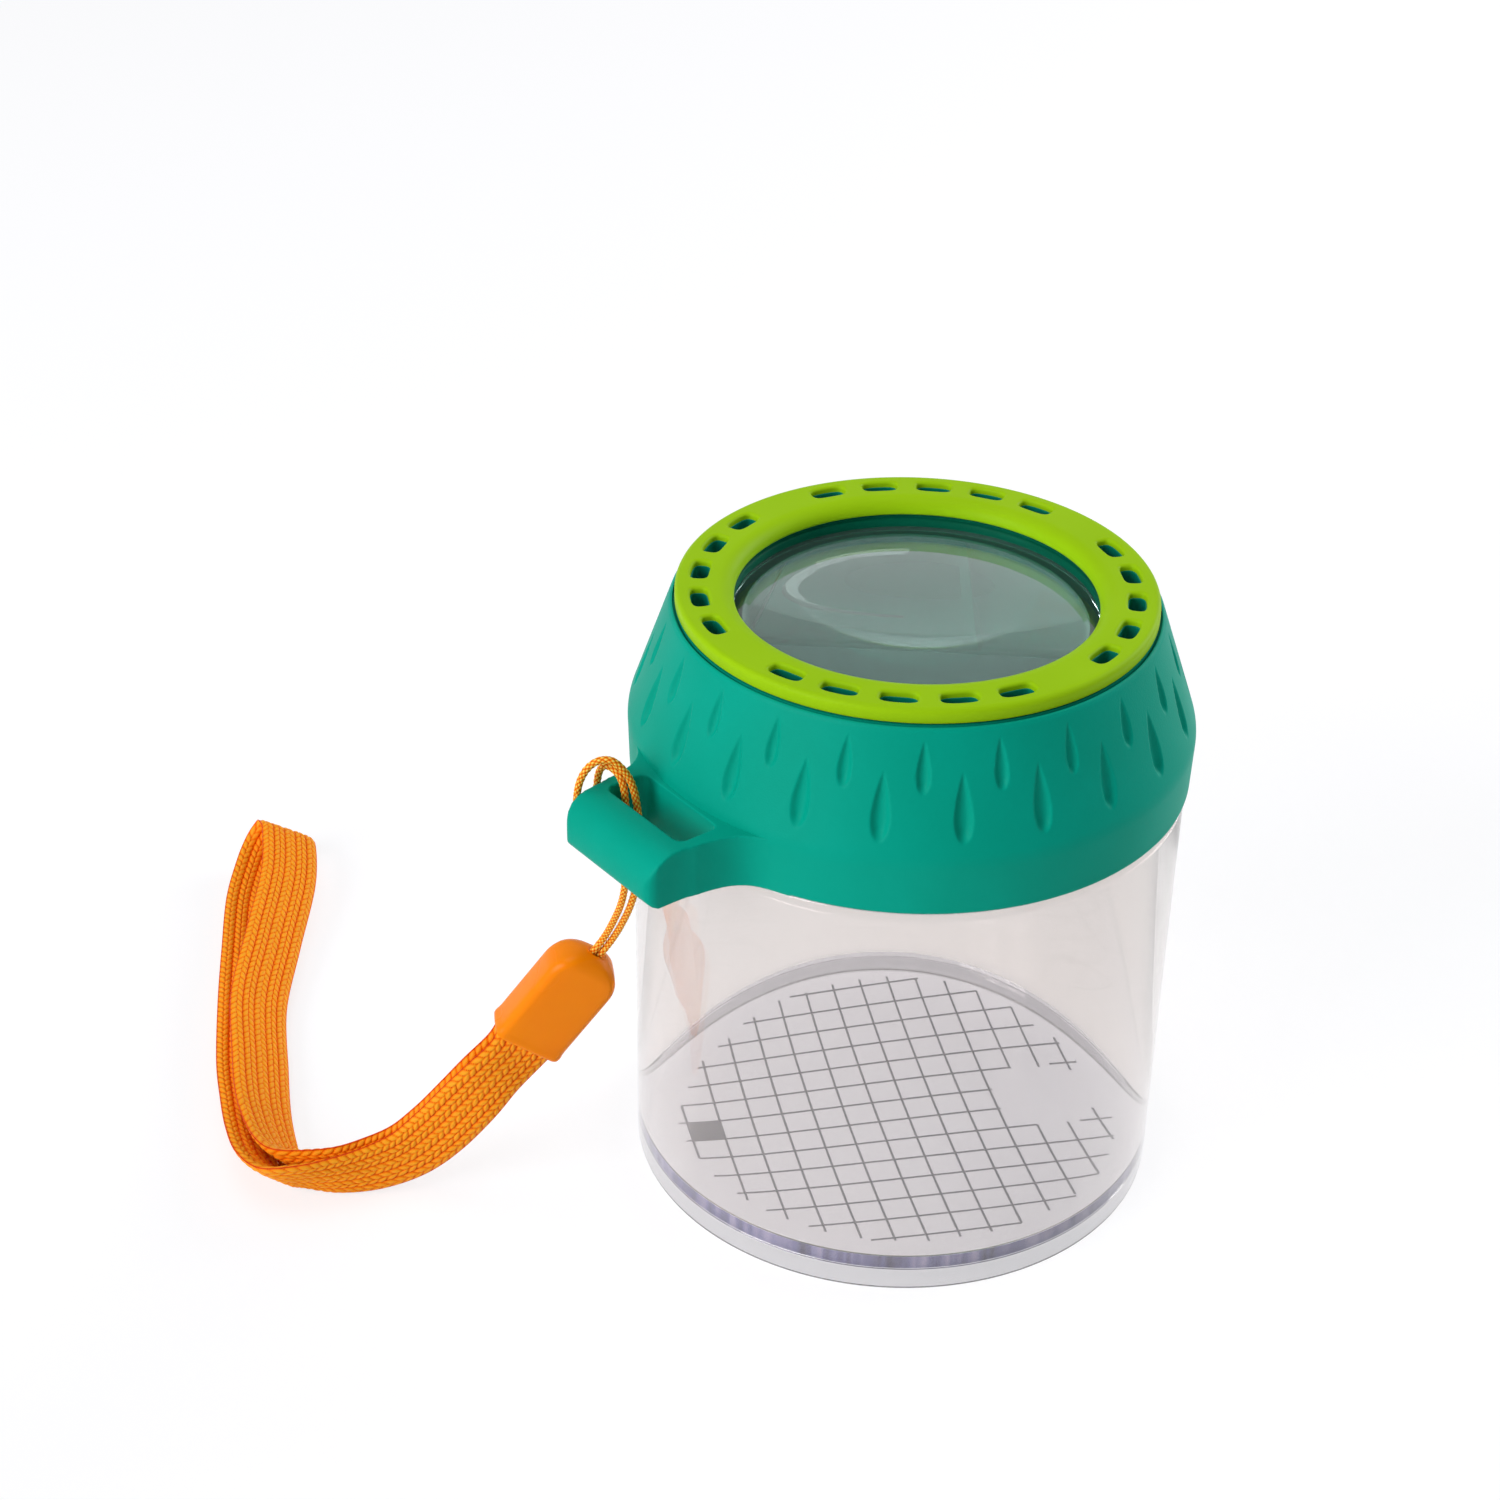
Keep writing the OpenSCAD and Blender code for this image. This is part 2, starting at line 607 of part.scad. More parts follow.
module ferrule() {
    rim_w = ferrule_w + 2 * ferrule_rim;
    rim_t = ferrule_t + 2 * ferrule_rim;
    bore_z = crimp_len + crimp_gap;
    color([0.97, 0.4, 0.02]) at_ferrule() difference() {
        union() {
            intersection() {
                linear_extrude(ferrule_len) round_rect(ferrule_w, ferrule_t, ferrule_edge);
                rotate([90, 0, 0]) linear_extrude(2 * ferrule_t, center = true)
                    bullet(ferrule_w + cut_thin, ferrule_len, ferrule_w * ferrule_top_share);
                rotate([90, 0, 90]) linear_extrude(2 * ferrule_w, center = true)
                    bullet(ferrule_t + cut_thin, ferrule_len, ferrule_t * ferrule_side_share);
            }
            linear_extrude(ferrule_rim_h) round_rect(rim_w, rim_t, ferrule_edge + ferrule_rim);
        }
        translate([0, 0, -cut]) linear_extrude(bore_z + cut)
            rotate(90) slot_outline(crimp_t + 2 * crimp_gap, crimp_w + 2 * crimp_gap);
        translate([0, 0, bore_z - crimp_gap]) linear_extrude(ferrule_len)
            rotate(90) slot_outline(cord_d + 2 * crimp_gap, strand_pitch + cord_d + 2 * crimp_gap);
    }
}

module crimp() {
    seam = crimp_t / 10;
    color([0.75, 0.76, 0.78]) at_ferrule() difference() {
        linear_extrude(crimp_len) rotate(90) slot_outline(crimp_t, crimp_w);
        translate([-seam, crimp_t / 2 - seam, -cut]) cube([2 * seam, crimp_t, crimp_len + 2 * cut]);
    }
}

// Tube or strip swept through sections, each a list of points in the same order
module sweep(sections) {
    n = len(sections);
    k = len(sections[0]);
    polyhedron(
        points = [for (s = sections, p = s) p],
        faces = concat(
            [for (j = [1:k - 2]) [0, j + 1, j]],
            [for (i = [0:n - 2], j = [0:k - 1])
                [i * k + j, i * k + (j + 1) % k, (i + 1) * k + (j + 1) % k]],
            [for (i = [0:n - 2], j = [0:k - 1]) [i * k + j, (i + 1) * k + (j + 1) % k, (i + 1) * k + j]],
            [for (j = [1:k - 2]) [(n - 1) * k, (n - 1) * k + j, (n - 1) * k + j + 1]]
        )
    );
}

// Direction of a route at one of its points
function heading(p, i) = unit(p[min(i + 1, len(p) - 1)] - p[max(i - 1, 0)]);

// Side directions carried along a route without twist
function carried(p, i = 0, side = undef, done = []) = i == len(p) ? done
    : let (t = heading(p, i), s = side == undef ? ferrule_across : side, flat = unit(s - (s * t) * t))
      carried(p, i + 1, flat, concat(done, [flat]));

cord_path = concat(
    [for (z = [crimp_len, ferrule_len, ferrule_len + 1.25 * cord_d]) in_ferrule(z, strand_pitch / 2)],
    cord_route,
    [for (z = [ferrule_len + 1.25 * cord_d, ferrule_len, crimp_len]) in_ferrule(z, -strand_pitch / 2)]
);

module cord() {
    sides = carried(cord_path);
    color([1, 0.5, 0.05]) sweep([for (i = [0:len(cord_path) - 1])
        let (t = i == 0 ? ferrule_dir : i == len(cord_path) - 1 ? -ferrule_dir : heading(cord_path, i),
             s = sides[i], n = cross(t, s))
        [for (j = [0:cord_sides - 1]) let (a = 360 * j / cord_sides)
            cord_path[i] + cord_d / 2 * (cos(a) * s + sin(a) * n)]]);
}

// The strap is one band: out along the outer layer, round the fold, and back along the inner layer.
// Each station is a place, the direction across the band and the outward direction of its face.
function station(at, t, lean) = let (w = across(t, lean)) [at, w, cross(t, w)];
shared_at = concat([ferrule_at], [for (s = strap_shared) s[0]]);
shared_lean = concat([ferrule_lean], [for (s = strap_shared) s[1]]);
shared = [for (i = [0:len(shared_at) - 1])
    let (t = i == 0 ? -ferrule_dir : heading(concat(shared_at, [strap_outer[0][0]]), i))
    station(shared_at[i], t, shared_lean[i])];
function layer(points, before, after) = let (p = concat([before], [for (s = points) s[0]], [after]))
    [for (i = [1:len(points)]) station(p[i], heading(p, i), points[i - 1][1])];
shift = (strap_t + strap_gap) / 2;
function side_layer(way) = [for (s = shared) [s[0] - way * shift * s[2], s[1], s[2]]];
outer_layer = layer(strap_outer, shared_at[len(shared_at) - 1], fold_at + fold_out);
inner_layer = layer(strap_inner, shared_at[len(shared_at) - 1], fold_at - fold_out);
fold_from = strap_outer[len(strap_outer) - 1][0];
fold_dir = unit(cross(fold_out, across(unit(fold_at - fold_from), fold_leans[0])));
fold = [for (k = [0:fold_steps]) let (
        a = 180 * k / fold_steps,
        lean = fold_leans[0] + (fold_leans[1] - fold_leans[0]) * k / fold_steps,
        w0 = across(unit(cross([0, 0, 1], cross(fold_dir, [0, 0, 1]))), lean),
        t = unit(-sin(a) * unit(fold_out) + cos(a) * fold_dir),
        w = unit(w0 - (w0 * t) * t))
    [fold_at + cos(a) * fold_out + sin(a) * norm(fold_out) * fold_dir, w, cross(t, w)]];
function turned(stations) = [for (i = [len(stations) - 1:-1:0])
    [stations[i][0], stations[i][1], -stations[i][2]]];
strap_band = concat(side_layer(1), outer_layer, fold, turned(inner_layer), turned(side_layer(-1)));

module strap() {
    color([1, 0.5, 0.05]) sweep([for (s = strap_band)
        [for (c = [[-1, -1], [-1, 1], [1, 1], [1, -1]])
            s[0] + c[0] * strap_w / 2 * s[1] + c[1] * strap_t / 2 * s[2]]]);
}

jar_body();
floor_disc();
collar();
vent_ring();
lens();
cord();
crimp();
ferrule();
strap();
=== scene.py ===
import math

import bmesh
import bpy
import numpy as np
from mathutils import Matrix, Vector


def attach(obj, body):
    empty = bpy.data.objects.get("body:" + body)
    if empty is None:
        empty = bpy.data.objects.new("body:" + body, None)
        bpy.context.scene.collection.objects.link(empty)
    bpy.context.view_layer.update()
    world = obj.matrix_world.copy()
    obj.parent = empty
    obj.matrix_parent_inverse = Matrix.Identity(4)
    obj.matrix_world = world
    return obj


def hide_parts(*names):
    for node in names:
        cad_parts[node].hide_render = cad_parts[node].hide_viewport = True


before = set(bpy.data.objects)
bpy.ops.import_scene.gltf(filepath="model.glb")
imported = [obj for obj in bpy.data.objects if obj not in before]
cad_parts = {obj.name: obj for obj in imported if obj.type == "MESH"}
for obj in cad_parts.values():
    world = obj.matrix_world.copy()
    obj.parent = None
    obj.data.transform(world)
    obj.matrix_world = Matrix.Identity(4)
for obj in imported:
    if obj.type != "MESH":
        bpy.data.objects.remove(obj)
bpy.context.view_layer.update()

bl_info = {
    "name": "Bug catcher jar",
    "version": (1, 0, 0),
    "blender": (4, 5, 0),
    "location": "3D View > Sidebar > Bug Jar",
    "description": "Dresses the packed bug catcher jar with its finished pieces and materials",
    "category": "Add Mesh",
}

# Millimetres, in which every size below is given, to Blender's metres
MM = 0.001

# The camera, in the frame's millimetres: where it stands, and its directions to the right and down
CAMERA_AT = (-263.2, -293.5, 317.0)
CAMERA_RIGHT = (0.7906, -0.6122, 0.0153)
CAMERA_DOWN = (-0.3131, -0.4256, -0.8490)
CAMERA_LENS, CAMERA_SENSOR = 71.65, 36

# Lamps: name, place and aim in metres, size in metres and power in watts
LAMPS = (
    ("left_softbox", (-1.2, 0.02, 0.65), (0, 0, 0.05), (0.75, 0.75), 12.5),
    ("right_softbox", (1.05, -0.1, 0.5), (0, 0, 0.06), (0.6, 0.6), 7),
    ("top_softbox", (-0.1, 0.2, 1.5), (0, 0, 0), (0.9, 0.9), 5),
)

# Jar, as in the frame
JAR_R = 42.75
JAR_FOOT_R = 42.4
JAR_WALL = 2.75
SHOULDER_Z = 71.6
NECK_R = 39.6
NECK_IN_R = 37.6
RIM_Z = 87.0
FOOT_BORE_R = 40.75
POCKET_R = 40.25
FLOOR_RECESS = 3.4
FLOOR_Z = 5.8
FLOOR_R = 40.1
TRACK_R = 38.6
TRACK_Z = (75.8, 84.2)
TRACK_LEN = 16.4
NOTCH_LEN = 4.9
NOTCH_AZ = 70.2
LOCK_COUNT = 3
JAR_SEGMENTS = 240

# Lid, as in the frame
SKIRT_Z = 71.85
SKIRT_R = 43.3
BAND_R = 43.6
BAND_Z = 80.8
TOP_Z = 99.4
TOP_R = 37.2
DECK_Z = 97.4
COLLAR_WALL = 1.5
WELL_R = 28.2
BEAD_R = 27.75
BEAD_Z = (97.35, 98.15)
SEAT_Z = 95.0
LEDGE_R = 26.0
RING_R = 36.45
RING_IN_R = 27.5
RING_TOP = 102.0
RING_EDGE, RING_ROLL = 0.85, (2.6, 2.3)
RING_FOOT_R = RING_R - 0.9
DECK_R = RING_R - 1.0
GROOVE = 0.8
LIP_Z = (SHOULDER_Z + 0.05, SKIRT_Z + 0.6)
VENT_R = 32.9
VENT_COUNT = 24
PEG_EVERY = 6
SLOT_SIZE, SLOT_POWER = (2.75, 1.4), 3.4
LENS_R = 28.0
LENS_EDGE = (95.0, 97.3)
LENS_DOME_R = 25.8
LID_SEGMENTS = 192
# The lens's domes rise less than the solid's, which keeps the jar's shoulder out of the view through it
LENS_RISE = (1.4, 2.8)
# The drops: the first one's turn, the segments round the collar for each, and the two rows with their
# place in the pitch, distance down the slope, length, width and depth
DROP_TURN, DROP_SEGMENTS = -5.9, 56
DROP_ROWS = ((0, 6.2, 10.6, 2.8, 0.9), (0.5, 1.6, 7.9, 2.1, 0.7))

# Strap loop, as in the frame
LOOP_Z = 80.6
NOSE_X = 57.9
SLOT_X = (44.2, 51.0)
SLOT_HALF = 9.0
ARM_Y = 10.7
ARM_SWEEP = 16.0
ARM_BLEND = 14
LOOP_CORNER, LOOP_NOSE, LOOP_BROW, LOOP_SLOT_CORNER = 1.8, 2.6, 5.5, 1.2
LOOP_VOXEL = 0.26

# Strap end, cord and strap routes, in the frame's millimetres
FERRULE_AT = (-58, 22, 30)
FERRULE_AZ, FERRULE_EL, FERRULE_LEAN = -36, 55, 7
FERRULE_LEN, FERRULE_W, FERRULE_T = 19.8, 11.8, 7.0
CORD_D = 1.2
STRAND_PITCH = 1.28
BRAID_PITCH = 0.95
CORD_SIDES = 32
CRIMP_LEN = 6.0
CORD_ROUTE = [
    [-48.1, 13.8, 50.2], [-48.1, 11.7, 54], [-48.3, 9.5, 58.3], [-48.7, 7.9, 62.5], [-48.9, 7.2, 67],
    [-48.8, 7.3, 73], [-48.8, 7.5, 79], [-49, 8, 81.6], [-49.4, 9, 82.9], [-49.9, 10.3, 83.3],
    [-50.2, 11.5, 82.4], [-50.4, 12.2, 80], [-50.4, 12.4, 75.5], [-49.8, 12.3, 72.2], [-48.7, 11.5, 70],
    [-47.2, 10, 68.7], [-45.8, 8, 68.1], [-45.1, 6.1, 68], [-45.9, 4.4, 68], [-47.6, 3.8, 68.1],
    [-49.3, 4.8, 68.4], [-50.8, 7, 68.9], [-52.3, 9.4, 69.5], [-53.5, 11.2, 70.6], [-54.1, 12, 73.4],
    [-54.3, 12, 78], [-54, 11.6, 81.3], [-53.1, 10.8, 83.8], [-51.8, 9.7, 85.2], [-50.3, 8.5, 85.2],
    [-49, 7.5, 83.6], [-48, 6.7, 81], [-47.4, 6.2, 76.5], [-47.1, 6.2, 70], [-47.1, 6.6, 64.5],
    [-47.1, 8.5, 58.5], [-47, 11, 53.5], [-47.05, 13.3, 49.5],
]
STRAP_W, STRAP_T, STRAP_GAP = 10.4, 1.8, 0.1
STITCH_COLUMNS, STRAP_RIBS = 10, 5
STRAP_SHARED = [
    [-59.6, 23.1, 27.2, 7], [-63, 24.6, 23.4, 6], [-66.2, 26.8, 18.3, 4], [-70, 29.9, 12.3, 2],
    [-74.2, 32.6, 8.1, 3], [-79.4, 35.4, 6, 8], [-84.7, 38.2, 5.4, 18],
]
STRAP_OUTER = [
    [-89.8, 40.5, 5.1, 32], [-92.3, 43.4, 4.6, 43], [-92.2, 48.6, 4.2, 52], [-89.7, 55.5, 3.7, 60],
    [-86, 63.5, 3.3, 66], [-81, 73.5, 2.9, 71], [-72, 89, 2.5, 75], [-64, 102, 2.4, 75],
    [-55.8, 115, 2.4, 73],
]
STRAP_INNER = [
    [-88.2, 43.2, 5.3, 30], [-89.3, 46, 5.1, 40], [-88.7, 50.3, 5, 48], [-86.8, 56.2, 5, 54],
    [-84.3, 62, 4.9, 58], [-79.8, 70.6, 4.8, 61], [-71.5, 85.5, 5.0, 63], [-61, 98.7, 5.9, 63],
]
STRAP_FOLD = [
    [-49.6, 122.6, 3.1], [-45.6, 126.4, 4.2], [-43.2, 127.6, 5.3], [-42.3, 126.8, 6.6], [-43.2, 123.4, 7.4],
    [-49.7, 112.6, 7.0],
]
FOLD_ACROSS = (0.717, -0.583, -0.382)


# Finishes

def linear(colour):
    """sRGB hex colour to the linear RGBA that a shader takes. A property's colour is linear already."""
    if not isinstance(colour, str):
        return tuple(colour)
    parts = [int(colour[i:i + 2], 16) / 255 for i in (1, 3, 5)]
    return [c / 12.92 if c <= 0.04045 else ((c + 0.055) / 1.055) ** 2.4 for c in parts] + [1.0]


def add(tree, kind, values=None, links=None, stops=(), **settings):
    """Adds a shader node, sets its properties, socket values and colour stops, and links its inputs."""
    node = tree.nodes.new("ShaderNode" + kind)
    for key, value in settings.items():
        setattr(node, key, value)
    for key, value in (values or {}).items():
        node.inputs[key].default_value = value
    for key, source in (links or {}).items():
        tree.links.new(source, node.inputs[key])
    while stops and len(node.color_ramp.elements) < len(stops):
        node.color_ramp.elements.new(0.5)
    for i, (place, colour) in enumerate(stops):
        node.color_ramp.elements[i].position = place
        node.color_ramp.elements[i].color = linear(colour)
    return node


def material(name):
    """An empty node material and its tree."""
    found = bpy.data.materials.new(name)
    found.use_nodes = True
    found.node_tree.nodes.clear()
    return found, found.node_tree


def seen(tree):
    """1 for a ray that carries what is seen: straight from the camera, through clear plastic or in gloss."""
    light = add(tree, "LightPath")
    both = add(tree, "Math", links={
        0: light.outputs["Is Camera Ray"], 1: light.outputs["Is Transmission Ray"]}, operation="ADD")
    return add(tree, "Math", links={0: both.outputs[0], 1: light.outputs["Is Glossy Ray"]},
               operation="ADD", use_clamp=True).outputs[0]


def clear_plastic(name, tint, roughness, clearness, foot=None):
    """Clear moulded plastic, with lamps shining through it; foot tints what lies below the floor's top a
    greyer colour, painted as the shadow under the jar.
    """
    found, tree = material(name)
    place = add(tree, "TexCoord")
    # Slow waves of the flow in the mould, about 110 mm long
    flow = add(tree, "TexNoise", {"Scale": 1 / (111 * MM), "Detail": 2.0},
               {"Vector": place.outputs["Object"]})
    wave = add(tree, "Bump", {"Strength": 0.02, "Distance": 0.3 * MM}, {"Height": flow.outputs["Fac"]})
    body = add(tree, "BsdfPrincipled", {
        "Base Color": linear(tint), "Transmission Weight": clearness, "IOR": 1.49, "Roughness": roughness,
    }, {"Normal": wave.outputs["Normal"]})
    light = add(tree, "LightPath")
    clear = add(tree, "BsdfTransparent", {"Color": linear(tint)})
    # Painted shade: below the floor's top the tint turns towards the greyer foot colour
    if foot:
        high = add(tree, "SeparateXYZ", links={0: place.outputs["Object"]})
        deep = add(tree, "MapRange", {"From Min": FLOOR_RECESS * MM, "From Max": FLOOR_Z * MM},
                   {"Value": high.outputs["Z"]})
        tone = add(tree, "ValToRGB", links={"Fac": deep.outputs["Result"]}, stops=[(0.0, foot), (1.0, tint)])
        tree.links.new(tone.outputs["Color"], body.inputs["Base Color"])
    both = add(tree, "MixShader", links={
        0: light.outputs["Is Shadow Ray"], 1: body.outputs[0], 2: clear.outputs[0]})
    add(tree, "OutputMaterial", links={"Surface": both.outputs[0]})
    return found


def moulded_plastic(name, colours, grain_mm, grain, roughness, shine, glow=0.0):
    """Opaque moulded plastic: the mould's spark-eroded grain, and slow changes of tone and shine."""
    found, tree = material(name)
    place = add(tree, "TexCoord").outputs["Object"]
    # The real grain is about 0.05 mm wide, too fine to show, and is drawn grain_mm wide
    grit = add(tree, "TexNoise", {"Scale": 1 / (grain_mm * MM), "Detail": 3.0}, {"Vector": place})
    # Patches about 17 mm wide, where the plastic cooled a little faster or slower
    slow = add(tree, "TexNoise", {"Scale": 1 / (16.7 * MM), "Detail": 2.0}, {"Vector": place})
    shade = add(tree, "MapRange", {"To Min": roughness - 0.04, "To Max": roughness + 0.05},
                {"Value": slow.outputs["Fac"]})
    tone = add(tree, "ValToRGB", links={"Fac": slow.outputs["Fac"]},
               stops=[(0.3, colours[0]), (0.7, colours[1])])
    bump = add(tree, "Bump", {"Strength": grain, "Distance": 0.05 * MM}, {"Height": grit.outputs["Fac"]})
    body = add(tree, "BsdfPrincipled", {
        "IOR": 1.5, "Specular IOR Level": shine, "Subsurface Weight": glow,
        "Subsurface Radius": (1.0, 0.4, 0.1), "Subsurface Scale": 1 * MM,
    }, {"Base Color": tone.outputs["Color"], "Roughness": shade.outputs["Result"],
        "Normal": bump.outputs["Normal"]})
    add(tree, "OutputMaterial", links={"Surface": body.outputs[0]})
    return found


def braided_yarn(name, stops, fibre_mm):
    """Braided polyester: rounded stitches painted bright as highlight, gaps painted deep warm as shade, and a
    soft sheen from its filaments.
    """
    found, tree = material(name)
    lift = add(tree, "Attribute", attribute_name="lift")
    place = add(tree, "TexCoord").outputs["Object"]
    # Real filaments are about 0.02 mm thick, too fine to show, and are drawn as bundles of fibre_mm
    fibre = add(tree, "TexNoise", {"Scale": 1 / (fibre_mm * MM), "Detail": 2.0, "Roughness": 0.6},
                {"Vector": place})
    mixed = add(tree, "Math", {1: 0.22}, {0: fibre.outputs["Fac"]}, operation="MULTIPLY")
    level = add(tree, "Math", links={0: lift.outputs["Fac"], 1: mixed.outputs[0]}, operation="ADD")
    # Painted shade and highlight: the ramp darkens where the braid sinks and lightens where it stands out
    tone = add(tree, "ValToRGB", links={"Fac": level.outputs[0]}, stops=stops)
    bump = add(tree, "Bump", {"Strength": 0.35, "Distance": 0.12 * MM}, {"Height": fibre.outputs["Fac"]})
    body = add(tree, "BsdfPrincipled", {
        "Roughness": 0.5, "Specular IOR Level": 0.12, "Sheen Weight": 0.04, "Sheen Roughness": 0.4,
        "Sheen Tint": linear("#FF9A2A"),
    }, {"Base Color": tone.outputs["Color"], "Normal": bump.outputs["Normal"]})
    add(tree, "OutputMaterial", links={"Surface": body.outputs[0]})
    return found


def printed_ink(name, colour):
    """Pad-printed ink, paler where it lies thin on the plastic."""
    found, tree = material(name)
    place = add(tree, "TexCoord").outputs["Object"]
    # Thin places about 1 mm wide
    worn = add(tree, "TexNoise", {"Scale": 1 / (1.11 * MM), "Detail": 2.0}, {"Vector": place})
    tone = add(tree, "ValToRGB", links={"Fac": worn.outputs["Fac"]},
               stops=[(0.55, colour), (0.85, "#343660")])
    body = add(tree, "BsdfPrincipled", {"Roughness": 0.6}, {"Base Color": tone.outputs["Color"]})
    add(tree, "OutputMaterial", links={"Surface": body.outputs[0]})
    return found


def painted_violet_reflection(name):
    """Painted reflection of the print in the disc's edge: upright streaks of pale and dark violet."""
    found, tree = material(name)
    place = add(tree, "TexCoord").outputs["Object"]
    # Streaks about 2 mm wide and 17 mm tall
    per_metre = [1 / (size * MM) for size in (1.92, 1.92, 16.7)]
    upright = add(tree, "Mapping", {"Scale": per_metre}, {"Vector": place})
    streak = add(tree, "TexNoise", {"Scale": 1.0, "Detail": 2.0}, {"Vector": upright.outputs["Vector"]})
    tone = add(tree, "ValToRGB", links={"Fac": streak.outputs["Fac"]},
               stops=[(0.3, "#1E2050"), (0.5, "#5C5C92"), (0.72, "#9A98BC")])
    body = add(tree, "BsdfPrincipled", {"Roughness": 0.4}, {"Base Color": tone.outputs["Color"]})
    add(tree, "OutputMaterial", links={"Surface": body.outputs[0]})
    return found


def plated_steel(name):
    """Nickel plate on pressed steel, with fine rub marks."""
    found, tree = material(name)
    place = add(tree, "TexCoord").outputs["Object"]
    marks = add(tree, "TexNoise", {"Scale": 1 / (0.4 * MM)}, {"Vector": place})
    shade = add(tree, "MapRange", {"To Min": 0.25, "To Max": 0.45}, {"Value": marks.outputs["Fac"]})
    body = add(tree, "BsdfPrincipled", {"Base Color": linear("#C3C4C6"), "Metallic": 1.0},
               {"Roughness": shade.outputs["Result"]})
    add(tree, "OutputMaterial", links={"Surface": body.outputs[0]})
    return found


def paper_sweep(name):
    """Matt white paper: seen as white but for the jar's shadow, while it lights the jar as paper does."""
    found, tree = material(name)
    paper = add(tree, "BsdfPrincipled", {
        "Base Color": linear("#F2F2F2"), "Roughness": 0.9, "Specular IOR Level": 0.1})
    shadow = add(tree, "BsdfDiffuse", {"Color": linear("#96969A")})
    glow = add(tree, "Emission", {"Color": linear("#FFFFFF"), "Strength": 0.74})
    both = add(tree, "AddShader", links={0: shadow.outputs[0], 1: glow.outputs[0]})
    lit = add(tree, "MixShader", links={0: seen(tree), 1: paper.outputs[0], 2: both.outputs[0]})
    add(tree, "OutputMaterial", links={"Surface": lit.outputs[0]})
    return found


# Meshes

def block(name, points, faces, merge=False):
    """A mesh object from points in millimetres, its faces turned outwards; merge joins points that meet."""
    mesh = bpy.data.meshes.new(name)
    mesh.from_pydata([tuple(p) for p in np.asarray(points, float) * MM], [], [tuple(f) for f in faces])
    built = bmesh.new()
    built.from_mesh(mesh)
    if merge:
        bmesh.ops.remove_doubles(built, verts=built.verts, dist=0.002 * MM)
        bmesh.ops.dissolve_degenerate(built, edges=built.edges, dist=0.001 * MM)
    bmesh.ops.recalc_face_normals(built, faces=built.faces)
    built.to_mesh(mesh)
    built.free()
    made = bpy.data.objects.new(name, mesh)
    bpy.context.scene.collection.objects.link(made)
    return made


def smooth(made, sharp):
    """Shades an object smooth but for edges sharper than an angle in degrees."""
    made.data.shade_smooth()
    made.data.set_sharp_from_angle(angle=math.radians(sharp))


def piece(name, points, faces, body, slot, finish, sharp=40, merge=True):
    """A finished piece from points in millimetres, riding on a body, with its material. slot is not used."""
    made = block(name, points, faces, merge)
    smooth(made, sharp)
    made.data.materials.append(finish)
    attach(made, body)
    return made


def join_parts(parts):
    """Points and faces of several (points, faces) parts as one."""
    points, faces = [], []
    for p, f in parts:
        base = len(points)
        points += [tuple(x) for x in p]
        faces += [tuple(i + base for i in face) for face in f]
    return points, faces


def arc(x, y, r, start, end, steps):
    """Points of an arc in degrees."""
    turn = [math.radians(start + (end - start) * i / steps) for i in range(steps + 1)]
    return [(x + r * math.cos(a), y + r * math.sin(a)) for a in turn]


def rounded(profile, radii, steps=4):
    """A closed profile with each corner rounded by its radius."""
    out, n = [], len(profile)
    for i, (corner, r) in enumerate(zip(profile, radii)):
        c = np.array(corner, float)
        a = np.array(profile[i - 1], float) - c
        b = np.array(profile[(i + 1) % n], float) - c
        la, lb = np.linalg.norm(a), np.linalg.norm(b)
        if r <= 0:
            out.append(tuple(c))
            continue
        a, b = a / la, b / lb
        half = math.acos(max(-1, min(1, float(a @ b)))) / 2
        cut = min(r / math.tan(half), 0.49 * la, 0.49 * lb)
        p, q = c + a * cut, c + b * cut
        for k in range(steps + 1):
            t = k / steps
            out.append(tuple((1 - t) ** 2 * p + 2 * t * (1 - t) * c + t * t * q))
    return out


def quads(rows, per, closed=False):
    """Quads between rows of points, each row a closed ring; closed joins the last row to the first."""
    faces = []
    for i in range(rows if closed else rows - 1):
        a, b = i * per, (i + 1) % rows * per
        faces += [(a + j, a + (j + 1) % per, b + (j + 1) % per, b + j) for j in range(per)]
    return faces


def revolved(profile, segments, closed=True, shift=None, start=0.0):
    """Points and quads of a profile (r, z) turned about the jar's axis."""
    n = len(profile)
    prof = np.array(profile, float)
    angle = start + 2 * math.pi * np.arange(segments) / segments
    r = np.repeat(prof[None, :, 0], segments, 0)
    z = np.repeat(prof[None, :, 1], segments, 0)
    a = np.repeat(angle[:, None], n, 1)
    if shift is not None:
        r = r - shift(a, z, r)
    points = np.stack([r * np.cos(a), r * np.sin(a), z], -1).reshape(-1, 3)
    faces = [
        (s * n + i, (s + 1) % segments * n + i, (s + 1) % segments * n + (i + 1) % n, s * n + (i + 1) % n)
        for s in range(segments) for i in range(n if closed else n - 1)
    ]
    return points, faces


def sector(r0, r1, z0, z1, start, end, steps, top=None):
    """Points and faces of a closed block that follows a circle; top is its outer radius at z1."""
    points = []
    for i in range(steps + 1):
        a = math.radians(start + (end - start) * i / steps)
        for r, z in ((r0, z0), (r1, z0), (r1 if top is None else top, z1), (r0, z1)):
            points.append((r * math.cos(a), r * math.sin(a), z))
    return points, quads(steps + 1, 4) + [(3, 2, 1, 0), tuple(4 * steps + j for j in range(4))]


def apply_modifiers(made):
    """Bakes an object's modifiers into its mesh."""
    graph = bpy.context.evaluated_depsgraph_get()
    mesh = bpy.data.meshes.new_from_object(made.evaluated_get(graph))
    made.modifiers.clear()
    old, made.data = made.data, mesh
    bpy.data.meshes.remove(old)


def cut_with(made, cutter, operation="DIFFERENCE"):
    """Boolean of a piece with a cutter, which is removed."""
    step = made.modifiers.new("cut", "BOOLEAN")
    step.operation = operation
    step.solver = "EXACT"
    step.object = cutter
    apply_modifiers(made)
    bpy.data.objects.remove(cutter)


def unit(v):
    """A direction of length 1."""
    return v / np.linalg.norm(v)


